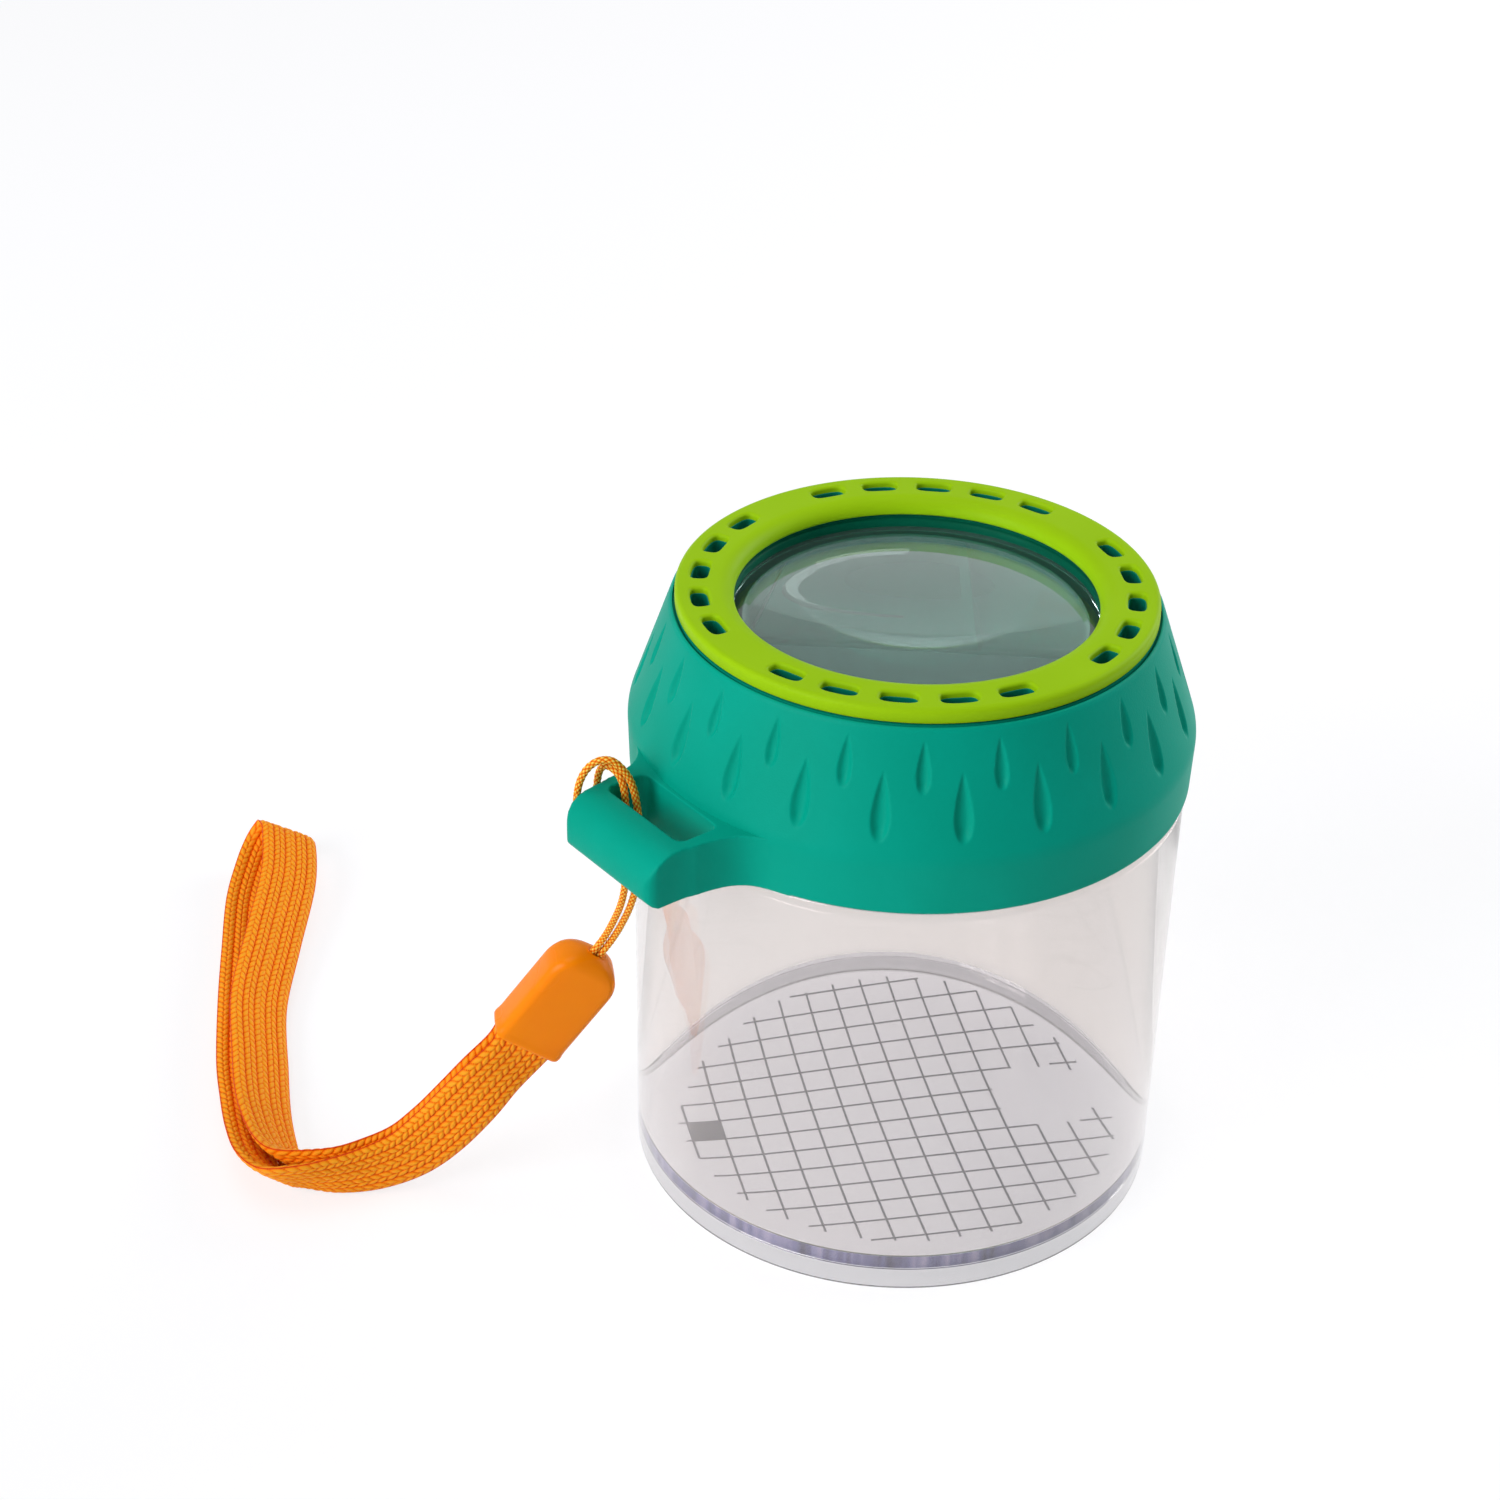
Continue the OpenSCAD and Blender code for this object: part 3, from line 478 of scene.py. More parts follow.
def across(t, lean):
    """Direction across a flat strap that runs along t and leans outwards from upright."""
    side = unit(np.cross(t, (0, 0, 1)))
    up = np.cross(side, t)
    a = math.radians(lean)
    return math.cos(a) * up - math.sin(a) * side


def ferrule_frame():
    """The strap end's mouth, its direction, its direction across and out of its wide face."""
    az, el = math.radians(FERRULE_AZ), math.radians(FERRULE_EL)
    along = np.array([math.cos(el) * math.cos(az), math.cos(el) * math.sin(az), math.sin(el)])
    wide = across(-along, FERRULE_LEAN)
    return np.array(FERRULE_AT, float), along, wide, np.cross(-along, wide)


def smooth_route(points, step):
    """A Catmull-Rom curve through the points, resampled to an even step."""
    p = np.array(points, float)
    p = np.vstack([2 * p[0] - p[1], p, 2 * p[-1] - p[-2]])
    out = []
    for i in range(1, len(p) - 2):
        a, b, c, d = p[i - 1], p[i], p[i + 1], p[i + 2]
        for t in np.linspace(0, 1, 24, endpoint=False):
            out.append(0.5 * (2 * b + (c - a) * t + (2 * a - 5 * b + 4 * c - d) * t * t
                              + (3 * b - a - 3 * c + d) * t ** 3))
    out.append(p[-2])
    out = np.array(out)
    gap = np.linalg.norm(np.diff(out[:, :3], axis=0), axis=1)
    run = np.concatenate([[0], np.cumsum(gap)])
    even = np.linspace(0, run[-1], max(2, int(round(run[-1] / step)) + 1))
    return np.stack([np.interp(even, run, out[:, k]) for k in range(out.shape[1])], 1), run[-1]


def headings(p):
    """Unit direction of travel at each point of a route."""
    d = np.gradient(p, axis=0)
    return d / np.linalg.norm(d, axis=1)[:, None]


def tube(path, sides, radius, start):
    """Points, quads and lift of a tube whose radius is a function of turn and distance."""
    t = headings(path)
    run = np.concatenate([[0], np.cumsum(np.linalg.norm(np.diff(path, axis=0), axis=1))])
    side, frames = start, []
    for v in t:
        side = unit(side - (side @ v) * v)
        frames.append(side)
    frames = np.array(frames)
    other = np.cross(t, frames)
    a = 2 * math.pi * np.arange(sides) / sides
    r, lift = radius(a[None, :], run[:, None])
    ring = (np.cos(a)[None, :, None] * frames[:, None] + np.sin(a)[None, :, None] * other[:, None])
    points = (path[:, None] + r[..., None] * ring).reshape(-1, 3)
    n = len(path)
    ends = [tuple(range(sides))[::-1], tuple((n - 1) * sides + j for j in range(sides))]
    return points, quads(n, sides) + ends, lift.ravel()


def set_lift(made, lift):
    """Stores how far each point of a braid stands out, for its painted shade and highlight."""
    level = made.data.attributes.new("lift", "FLOAT", "POINT")
    level.data.foreach_set("value", np.asarray(lift, np.float32))


# Values that a user would change

def swatch(name, description, colour):
    """A colour that a user may change, from its sRGB hex value."""
    return bpy.props.FloatVectorProperty(
        name=name, description=description, subtype="COLOR", size=4, min=0, max=1, default=linear(colour))


class BUGJAR_PG_finishes(bpy.types.PropertyGroup):
    """Colours of the jar's pieces"""
    jar_tint: swatch("Jar tint", "Tint of the clear jar", "#F0ECEA")
    # The lens tint is partly painted light: a deeper green that stands in for the teal glow of the collar's
    # inside
    lens_tint: swatch("Lens tint", "Tint of the clear lens", "#C4E4DE")
    collar_colour: swatch("Collar", "Colour of the moulded collar", "#009F89")
    ring_colour: swatch("Vent ring", "Colour of the vent ring", "#9CC90E")
    ferrule_colour: swatch("Strap end", "Colour of the moulded strap end", "#FC8C00")
    print_colour: swatch("Print", "Colour of the printed grid", "#14163A")


class BUGJAR_PG_sizes(bpy.types.PropertyGroup):
    """Sizes of the jar's patterns"""
    grid_pitch: bpy.props.FloatProperty(
        name="Grid pitch", description="Spacing of the printed grid", unit="LENGTH", precision=5,
        default=5 * MM, min=1 * MM, max=10 * MM)
    grid_line: bpy.props.FloatProperty(
        name="Grid line", description="Width of a printed line", unit="LENGTH", precision=5,
        default=0.38 * MM, min=0.1 * MM, max=1 * MM)
    stitch_pitch: bpy.props.FloatProperty(
        name="Stitch pitch", description="Length of one stitch of the strap", unit="LENGTH", precision=5,
        default=1.5 * MM, min=0.5 * MM, max=4 * MM)
    drop_count: bpy.props.IntProperty(
        name="Drops", description="Number of drops in each row of the collar", default=22, min=8, max=40)


def finishes():
    """The colours in use."""
    return bpy.context.scene.bug_jar_finishes


def sizes():
    """The sizes in use."""
    return bpy.context.scene.bug_jar_sizes


class BUGJAR_OT_stage(bpy.types.Operator):
    """Add the camera, the pale floor and the soft studio light"""
    bl_idname = "bug_jar.stage"
    bl_label = "Stage"

    def execute(self, context):
        scene = context.scene
        right, down = np.array(CAMERA_RIGHT), np.array(CAMERA_DOWN)
        right = unit(right)
        down = unit(down - (down @ right) * right)
        forward = np.cross(right, down)
        lens = bpy.data.cameras.new("camera")
        lens.lens, lens.sensor_width, lens.sensor_fit = CAMERA_LENS, CAMERA_SENSOR, "HORIZONTAL"
        lens.clip_start, lens.clip_end = 0.01, 20
        camera = bpy.data.objects.new("camera", lens)
        scene.collection.objects.link(camera)
        turn = Matrix((right, -down, -forward)).transposed().to_4x4()
        camera.matrix_world = Matrix.Translation(Vector(CAMERA_AT) * MM) @ turn
        scene.camera = camera

        mesh = bpy.data.meshes.new("floor")
        mesh.from_pydata([(-6, -6, 0), (6, -6, 0), (6, 6, 0), (-6, 6, 0)], [], [(0, 1, 2, 3)])
        floor = bpy.data.objects.new("floor", mesh)
        scene.collection.objects.link(floor)
        # Matt white paper: seen as plain white with a soft grey shadow round the jar
        floor.data.materials.append(paper_sweep("matt white paper sweep"))

        for name, at, aim, size, power in LAMPS:
            lamp = bpy.data.lights.new(name, "AREA")
            lamp.shape, lamp.energy = "RECTANGLE", power
            lamp.size, lamp.size_y = size
            made = bpy.data.objects.new(name, lamp)
            made.location = at
            made.rotation_euler = (Vector(aim) - Vector(at)).to_track_quat("-Z", "Y").to_euler()
            scene.collection.objects.link(made)

        world = bpy.data.worlds.new("studio")
        world.use_nodes = True
        tree = world.node_tree
        tree.nodes.clear()
        room = add(tree, "Background", {"Color": linear("#F4F6FA"), "Strength": 0.24})
        white = add(tree, "Background", {"Color": linear("#FFFFFF"), "Strength": 1.0})
        both = add(tree, "MixShader", links={0: seen(tree), 1: room.outputs[0], 2: white.outputs[0]})
        add(tree, "OutputWorld", links={"Surface": both.outputs[0]})
        scene.world = world
        scene.view_settings.view_transform = "Standard"
        return {"FINISHED"}


def jar_profile():
    """Section through one side of the jar, its edges softly rounded but for the three corners of the floor's
    pocket.
    """
    corners = [
        (FOOT_BORE_R, 0), (JAR_FOOT_R, 0), (JAR_R, SHOULDER_Z), (NECK_R, SHOULDER_Z),
        (NECK_R, RIM_Z), (NECK_IN_R, RIM_Z), (NECK_IN_R, SHOULDER_Z - 0.35),
        (JAR_R - JAR_WALL, SHOULDER_Z - JAR_WALL), (JAR_FOOT_R - JAR_WALL, FLOOR_Z),
        (POCKET_R, FLOOR_Z), (POCKET_R, FLOOR_RECESS), (FOOT_BORE_R, FLOOR_RECESS),
    ]
    return rounded(corners, [0.2, 1.1, 0.5, 0.3, 0.5, 0.5, 0.6, 1.0, 0.2, 0, 0, 0], 5)


class BUGJAR_OT_jar_wall(bpy.types.Operator):
    """Add the clear jar with its foot, shoulder, neck and the three tracks of the twist lock"""
    bl_idname = "bug_jar.jar_wall"
    bl_label = "Jar wall"

    def execute(self, context):
        # Clear moulded polystyrene: bright rims, a faint pink-grey haze on the wall and a foot painted greyer
        # as the shadow under the jar
        finish = clear_plastic("clear polystyrene, moulded", finishes().jar_tint,
                               roughness=0.01, clearness=0.93, foot="#D2D1D3")
        points, faces = revolved(jar_profile(), JAR_SEGMENTS)
        made = piece("jar_wall", points, faces, "jar", "clear_jar", finish)
        deg = math.degrees(1 / NECK_R)
        end = NOTCH_AZ + NOTCH_LEN / 2 * deg
        for i in range(LOCK_COUNT):
            turn = 360 * i / LOCK_COUNT
            cut_with(made, block("track", *sector(
                TRACK_R, NECK_R + 1, *TRACK_Z, turn + end - TRACK_LEN * deg, turn + end - deg, 16)))
            cut_with(made, block("notch", *sector(
                TRACK_R - 0.1, NECK_R + 1, TRACK_Z[0] - 0.1, RIM_Z + 1,
                turn + end - NOTCH_LEN * deg, turn + end, 8)))
        smooth(made, 40)
        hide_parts("jar_body")
        return {"FINISHED"}


# Where each printed line of the grid runs, in grid squares: spans of the 14 rows and of the 14 columns
GRID_ROWS = [
    [(4.4, 9.1)], [(2.6, 11)], [(1.6, 12)], [(0.8, 12.5)], [(0.35, 13.1)], [(0, 11.05), (12.4, 13.35)],
    [(-0.25, 10.1)], [(-0.2, 10.1)], [(0, 11), (12.4, 13.4)], [(0.25, 13.1)], [(0.75, 12.6)],
    [(1.45, 12)], [(2.55, 11)], [(4.26, 9)],
]
GRID_COLUMNS = [
    [(5, 8)], [(2.65, 10.4)], [(1.65, 11.55)], [(0.75, 12.35)], [(0.1, 12.85)], [(-0.1, 13.15)],
    [(-0.3, 13.35)], [(-0.35, 13.3)], [(-0.3, 13.25)], [(0, 13)], [(0.3, 12.55)],
    [(1, 5), (8, 11.9)], [(2, 5.1), (8, 10.95)], [(3.7, 5.4), (7.4, 9.2)],
]
GRID_TURN, GRID_MIDDLE = -26.18, 6.5
DISC_EDGE = 0.15
INK_Z = (FLOOR_RECESS - 0.06, FLOOR_RECESS - 0.01)


class BUGJAR_OT_floor(bpy.types.Operator):
    """Add the clear floor disc and the measuring grid printed under it"""
    bl_idname = "bug_jar.floor"
    bl_label = "Floor and grid"

    def execute(self, context):
        # Clear moulded polystyrene, polished: the grid shows through it on a cool pale grey
        finish = clear_plastic("clear polystyrene, floor disc", "#DCDBE0", roughness=0.01, clearness=0.98)
        profile = [
            (0.001, FLOOR_RECESS), (FLOOR_R - DISC_EDGE, FLOOR_RECESS), (FLOOR_R, FLOOR_RECESS + DISC_EDGE),
            (FLOOR_R, FLOOR_Z - DISC_EDGE), (FLOOR_R - DISC_EDGE, FLOOR_Z), (0.001, FLOOR_Z)]
        points, faces = revolved(profile, JAR_SEGMENTS, closed=False)
        disc = piece("floor_plate", points, faces, "jar", "clear_floor", finish)
        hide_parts("floor_disc")

        pitch, width = sizes().grid_pitch / MM, sizes().grid_line / MM
        turn = math.radians(GRID_TURN)
        parts = []

        def strip(c0, r0, c1, r1, w):
            """A printed line from one place on the grid to another, w wide."""
            a = np.array([(c0 - GRID_MIDDLE) * pitch, -(r0 - GRID_MIDDLE) * pitch])
            b = np.array([(c1 - GRID_MIDDLE) * pitch, -(r1 - GRID_MIDDLE) * pitch])
            side = np.array([-(b - a)[1], (b - a)[0]]) / np.linalg.norm(b - a) * w / 2
            flat = [a - side, b - side, b + side, a + side]
            points = []
            for z in INK_Z:
                for x, y in flat:
                    points.append((x * math.cos(turn) - y * math.sin(turn),
                                   x * math.sin(turn) + y * math.cos(turn), z))
            parts.append((points, [(3, 2, 1, 0), (4, 5, 6, 7)] + quads(2, 4)))

        for row, spans in enumerate(GRID_ROWS):
            for c0, c1 in spans:
                strip(c0, row, c1, row, width)
        for column, spans in enumerate(GRID_COLUMNS):
            for r0, r1 in spans:
                strip(column, r0, column, r1, width)
        # The legend's place beside the grid, as a plain dark square
        strip(0.03, GRID_MIDDLE, 0.97, GRID_MIDDLE, pitch * 0.94)
        # Pad-printed ink: matt, dark blue-grey lines, slightly broken
        ink = printed_ink("pad-printed ink, dark blue-grey", finishes().print_colour)
        piece("grid_print", *join_parts(parts), "jar", "clear_floor", ink, sharp=30)
        # Painted reflection of the print in the disc's edge: a violet line, light and dark in streaks, round
        # the clear foot
        reflected_print = painted_violet_reflection("painted reflection, violet, where the disc meets the foot")
        points, faces = revolved([
            (FLOOR_R + 0.03, FLOOR_RECESS + 0.1), (POCKET_R - 0.03, FLOOR_RECESS + 0.1),
            (POCKET_R - 0.03, FLOOR_Z - 0.1), (FLOOR_R + 0.03, FLOOR_Z - 0.1)], JAR_SEGMENTS)
        piece("disc_edge_reflection", points, faces, "jar", "clear_floor", reflected_print)
        return {"FINISHED"}


def drop_depth(x, y, length, width, depth):
    """How deep a drop is, x along the collar and y down from its tip, in millimetres."""
    t = np.clip(y / length, 0, 1)
    half = np.maximum(width / 2 * np.sqrt(np.sin(math.pi * t ** 1.8)), 0.02)
    inside = np.clip(1 - (np.abs(x) / half) ** 2.4, 0, None) * (y > 0) * (y < length)
    foot = np.sin(math.pi / 2 * np.clip((1 - t) / 0.16, 0, 1))
    return depth * np.sin(math.pi / 2 * np.minimum(t / 0.75, 1)) * foot * inside


def drops(angle, z, r):
    """How far the collar's surface is sunk by its two rows of drops."""
    slope = math.atan((BAND_R - TOP_R) / (TOP_Z - BAND_Z))
    count = sizes().drop_count
    sunk = np.zeros_like(r)
    down = (TOP_Z - z) / math.cos(slope)
    on_cone = (z > BAND_Z + 0.5) & (z < TOP_Z - 0.5) & (r > inner_r(z) + 0.8)
    pitch = 2 * math.pi / count
    for share, at, length, width, depth in DROP_ROWS:
        turn = math.radians(DROP_TURN) + share * pitch
        local = (angle - turn + pitch / 2) % pitch - pitch / 2
        sunk += np.where(on_cone, drop_depth(local * r, down - at, length, width, depth), 0)
    return sunk


def side_r(z):
    """Outside radius of the collar, its band running smoothly into its slope."""
    z = np.asarray(z, float)
    band = SKIRT_R + (BAND_R - SKIRT_R) * (z - SKIRT_Z) / (BAND_Z - SKIRT_Z)
    cone = BAND_R - (BAND_R - TOP_R) * (z - BAND_Z) / (TOP_Z - BAND_Z)
    soft = 0.45
    h = np.clip(0.5 + 0.5 * (cone - band) / soft, 0, 1)
    return cone * (1 - h) + band * h - soft * h * (1 - h)


def inner_r(z):
    """Inside radius of the collar."""
    return side_r(z) - COLLAR_WALL


def wall_block(r0, z0, z1, start, end, steps):
    """Points and faces of a block that stands on the collar's inner wall and reaches in to r0."""
    return join_parts([
        sector(r0, float(inner_r(a)) + 0.3, a, b, start, end, steps, float(inner_r(b)) + 0.3)
        for a, b in ((z0, BAND_Z), (BAND_Z, z1))])


def slot_outline(grow, angle):
    """The air slot's rounded outline, larger all round by grow, x round the ring and y outwards."""
    c, s = np.cos(angle), np.sin(angle)
    return ((SLOT_SIZE[0] + grow) * np.sign(c) * np.abs(c) ** (2 / SLOT_POWER),
            (SLOT_SIZE[1] + grow) * np.sign(s) * np.abs(s) ** (2 / SLOT_POWER))


def slotted_ring(inner, outer, z_low, z_top, flat, fillet, sides):
    """Points and faces of a ring whose slots have rounded edges. flat holds the flat top's two radii, inner
    and outer are those of its underside, and sides are the open profiles of its inner and outer wall."""
    per_side = 12
    corners = [(-1, -1), (1, -1), (1, 1), (-1, 1)]
    border = []
    for i in range(4):
        a, b = np.array(corners[i], float), np.array(corners[(i + 1) % 4], float)
        border += [a + (b - a) * k / per_side for k in range(per_side)]
    border = np.array(border)
    phi = np.arctan2(border[:, 1], border[:, 0])
    n = len(border)
    wide = math.pi / VENT_COUNT
    parts = []
    for c in range(VENT_COUNT):
        middle = 2 * math.pi * c / VENT_COUNT
        blind = c % PEG_EVERY == 0

        def at_hole(grow, z, share=None, span=flat):
            """The slot's outline at a height, moved by share towards its cell's border."""
            hx, hy = slot_outline(grow, phi)
            if blind:
                hx, hy = hx * 0.001, hy * 0.001
            u, v = hx / VENT_R, VENT_R + hy
            if share is not None:
                bu = border[:, 0] * wide
                bv = (span[0] + span[1]) / 2 + border[:, 1] * (span[1] - span[0]) / 2
                u, v = u + (bu - u) * share, v + (bv - v) * share
            turn = middle + u
            return np.stack([v * np.cos(turn), v * np.sin(turn), np.full(n, z)], 1)

        rings = [at_hole(fillet, z_top, share) for share in (1, 0.75, 0.5, 0.28, 0.12)]
        if not blind:
            for k in range(6):
                a = math.radians(90 * k / 5)
                rings.append(at_hole(fillet * (1 - math.sin(a)), z_top - fillet * (1 - math.cos(a))))
            rings.append(at_hole(0, z_low))
            rings += [at_hole(0, z_low, share, (inner, outer)) for share in (0.5, 1)]
        faces = quads(len(rings), n)
        parts.append((np.vstack(rings), faces))
        if blind:
            faces.append(tuple((len(rings) - 1) * n + j for j in range(n))[::-1])
            low = [at_hole(0, z_low, share, (inner, outer)) for share in (1, 0.5, 0.2)]
            parts.append((np.vstack(low), [face[::-1] for face in quads(3, n)]
                          + [tuple(2 * n + j for j in range(n))]))
    for profile in sides:
        parts.append(revolved(profile, VENT_COUNT * per_side, closed=False, start=-wide))
    return join_parts(parts)


def loop_mesh():
    """The strap loop: its plan and its side profile cut from one another, then softened all over."""
    sweep_y = ARM_Y + ARM_SWEEP
    sweep_x = math.sqrt((BAND_R + ARM_SWEEP) ** 2 - sweep_y ** 2)
    touch = math.degrees(math.atan2(sweep_y, sweep_x))
    plan = [(30, -16), (30, 16)]
    plan += arc(sweep_x, sweep_y, ARM_SWEEP, 180 + touch, 270, 24)
    plan += arc(NOSE_X - LOOP_CORNER, ARM_Y - LOOP_CORNER, LOOP_CORNER, 90, 0, 6)
    plan += arc(NOSE_X - LOOP_CORNER, LOOP_CORNER - ARM_Y, LOOP_CORNER, 0, -90, 6)
    plan += arc(sweep_x, -sweep_y, ARM_SWEEP, 90, 180 - touch, 24)
    side = [(30, SKIRT_Z), *arc(NOSE_X - LOOP_NOSE, SKIRT_Z + LOOP_NOSE, LOOP_NOSE, -90, 0, 12),
            *arc(NOSE_X - LOOP_BROW, LOOP_Z - LOOP_BROW, LOOP_BROW, 0, 90, 16), (30, LOOP_Z)]
    slot = []
    r = LOOP_SLOT_CORNER
    x0, x1, y1 = SLOT_X[0] + r, SLOT_X[1] - r, SLOT_HALF - r
    for x, y, a in ((x1, y1, 0), (x0, y1, 90), (x0, -y1, 180), (x1, -y1, 270)):
        slot += arc(x, y, r, a, a + 90, 6)

    def prism(outline, low, high, upright):
        """A block with the given outline, seen from above where it is upright and from the side where not."""
        n = len(outline)
        points = [(-x, y, low) if upright else (-x, low, y) for x, y in outline]
        points += [(-x, y, high) if upright else (-x, high, y) for x, y in outline]
        faces = [tuple(range(n)), tuple(range(n, 2 * n))[::-1]]
        faces += [(i, i + n, (i + 1) % n + n, (i + 1) % n) for i in range(n)]
        return points, faces

    made = block("loop", *prism(plan, SKIRT_Z - 1, LOOP_Z + 1, True))
    cut_with(made, block("loop_side", *prism(side, -30, 30, False)), "INTERSECT")
    cut_with(made, block("loop_slot", *prism(slot, SKIRT_Z - 2, LOOP_Z + 2, True)))
    remesh = made.modifiers.new("even", "REMESH")
    remesh.mode, remesh.voxel_size = "VOXEL", LOOP_VOXEL * MM
    soften = made.modifiers.new("soften", "SMOOTH")
    soften.factor, soften.iterations = 0.5, 7
    apply_modifiers(made)
    points = np.array([v.co for v in made.data.vertices]) / MM
    faces = [tuple(p.vertices) for p in made.data.polygons]
    bpy.data.objects.remove(made)
    r = np.hypot(points[:, 0], points[:, 1])
    turn = np.degrees(np.arctan2(np.abs(points[:, 1]), -points[:, 0]))
    share = np.clip((turn - touch + ARM_BLEND) / ARM_BLEND, 0, 1)
    skin = side_r(np.minimum(points[:, 2], LOOP_Z))
    soft = np.where(r > skin - 1, skin + (r - skin) * (1 - share) ** 2 - 0.12 * share, r)
    points[:, :2] *= (soft / np.maximum(r, 1))[:, None]
    return points, faces


class BUGJAR_OT_collar(bpy.types.Operator):
    """Add the teal collar with its drops, deck, lens well, lock lugs, ribs and strap loop"""
    bl_idname = "bug_jar.collar"
    bl_label = "Collar"

    def execute(self, context):
        # The collar's ABS down in the well, darkened with painted shade where the ring overhangs it: a dark
        # green line round the lens
        painted_ring_shade = moulded_plastic("moulded ABS, lens well, teal darkened as painted ring shade", ("#005A44", "#00543F"),
                                 grain_mm=0.3, grain=0.1, roughness=0.5, shine=0.05)
        points, faces = revolved([
            (WELL_R + 0.2, TOP_Z - 0.05), (WELL_R - 0.05, TOP_Z - 0.1), (WELL_R - 0.05, BEAD_Z[1] + 0.55),
            (BEAD_R + 0.1, BEAD_Z[1] + 0.45), (BEAD_R, BEAD_Z[1] + 0.3), (BEAD_R, BEAD_Z[0]),
            (WELL_R, BEAD_Z[0]), (WELL_R, SEAT_Z), (LEDGE_R + 0.15, SEAT_Z), (LEDGE_R, SEAT_Z - 0.15),
            (LEDGE_R, SEAT_Z - 1.25), (LEDGE_R + 0.15, SEAT_Z - 1.4), (WELL_R + 1.6, SEAT_Z - 1.4),
            (WELL_R + 1.6, DECK_Z + 0.5),
        ], LID_SEGMENTS)
        piece("lens_well", points, faces, "lid", "teal_plastic", painted_ring_shade)

        # Moulded ABS with a spark-eroded grain: satin teal with broad soft highlights and a fine tooth
        finish = moulded_plastic("moulded ABS, spark-eroded grain, teal",
                                 (finishes().collar_colour, "#009A83"),
                                 grain_mm=0.3, grain=0.5, roughness=0.48, shine=0.05)
        outside = [
            (SKIRT_R - 0.6, SKIRT_Z), (SKIRT_R - 0.25, SKIRT_Z + 0.08), (SKIRT_R - 0.05, SKIRT_Z + 0.3)]
        outside += [(float(side_r(z)), z) for z in np.linspace(SKIRT_Z + 0.6, TOP_Z - 0.5, 114)]
        outside += arc(TOP_R - 0.4, TOP_Z - 0.45, 0.45, 15, 90, 5)
        outside += [(TOP_R - 0.45, TOP_Z - GROOVE), (RING_R - 0.1, TOP_Z - GROOVE), (RING_R - 0.1, TOP_Z)]
        inside = [(DECK_R, TOP_Z), (DECK_R, DECK_Z)]
        inside += [(float(inner_r(z)), z) for z in (DECK_Z, 92, 86, BAND_Z + 1, BAND_Z - 1, 76, SKIRT_Z)]
        shell = revolved(outside + inside, sizes().drop_count * DROP_SEGMENTS, shift=drops)
        deck = slotted_ring(WELL_R, DECK_R, DECK_Z, TOP_Z, (WELL_R, DECK_R), 0.3, (
            [(WELL_R, TOP_Z), (WELL_R, DECK_Z)], [(DECK_R, TOP_Z), (DECK_R, DECK_Z)]))
        # A narrow lip at the collar's foot, just clear of the jar's shoulder and neck
        lip = revolved([(r, z) for r, z in (
            (NECK_R + 0.15, LIP_Z[0]), (inner_r(SKIRT_Z) + 0.1, LIP_Z[0]),
            (inner_r(SKIRT_Z) + 0.1, LIP_Z[1]), (NECK_R + 0.15, LIP_Z[1]))], 180)
        parts = [shell, deck, lip, loop_mesh()]
        deg = math.degrees(1 / NECK_R)
        for i in range(LOCK_COUNT):
            turn = 360 * i / LOCK_COUNT + NOTCH_AZ
            parts.append(wall_block(TRACK_R + 0.2, TRACK_Z[0] + 0.3, TRACK_Z[0] + 7.8,
                                    turn - 2.1 * deg, turn + 2.1 * deg, 6))
            for k in (1, 2, 3):
                rib = turn + 360 / LOCK_COUNT * k / 4
                parts.append(wall_block(NECK_R + 0.2, SKIRT_Z + 1.5, SKIRT_Z + 13,
                                        rib - 0.6 * deg, rib + 0.6 * deg, 2))
        made = piece("collar_shell", *join_parts(parts), "lid", "teal_plastic", finish, sharp=62)
        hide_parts("collar")
        return {"FINISHED"}


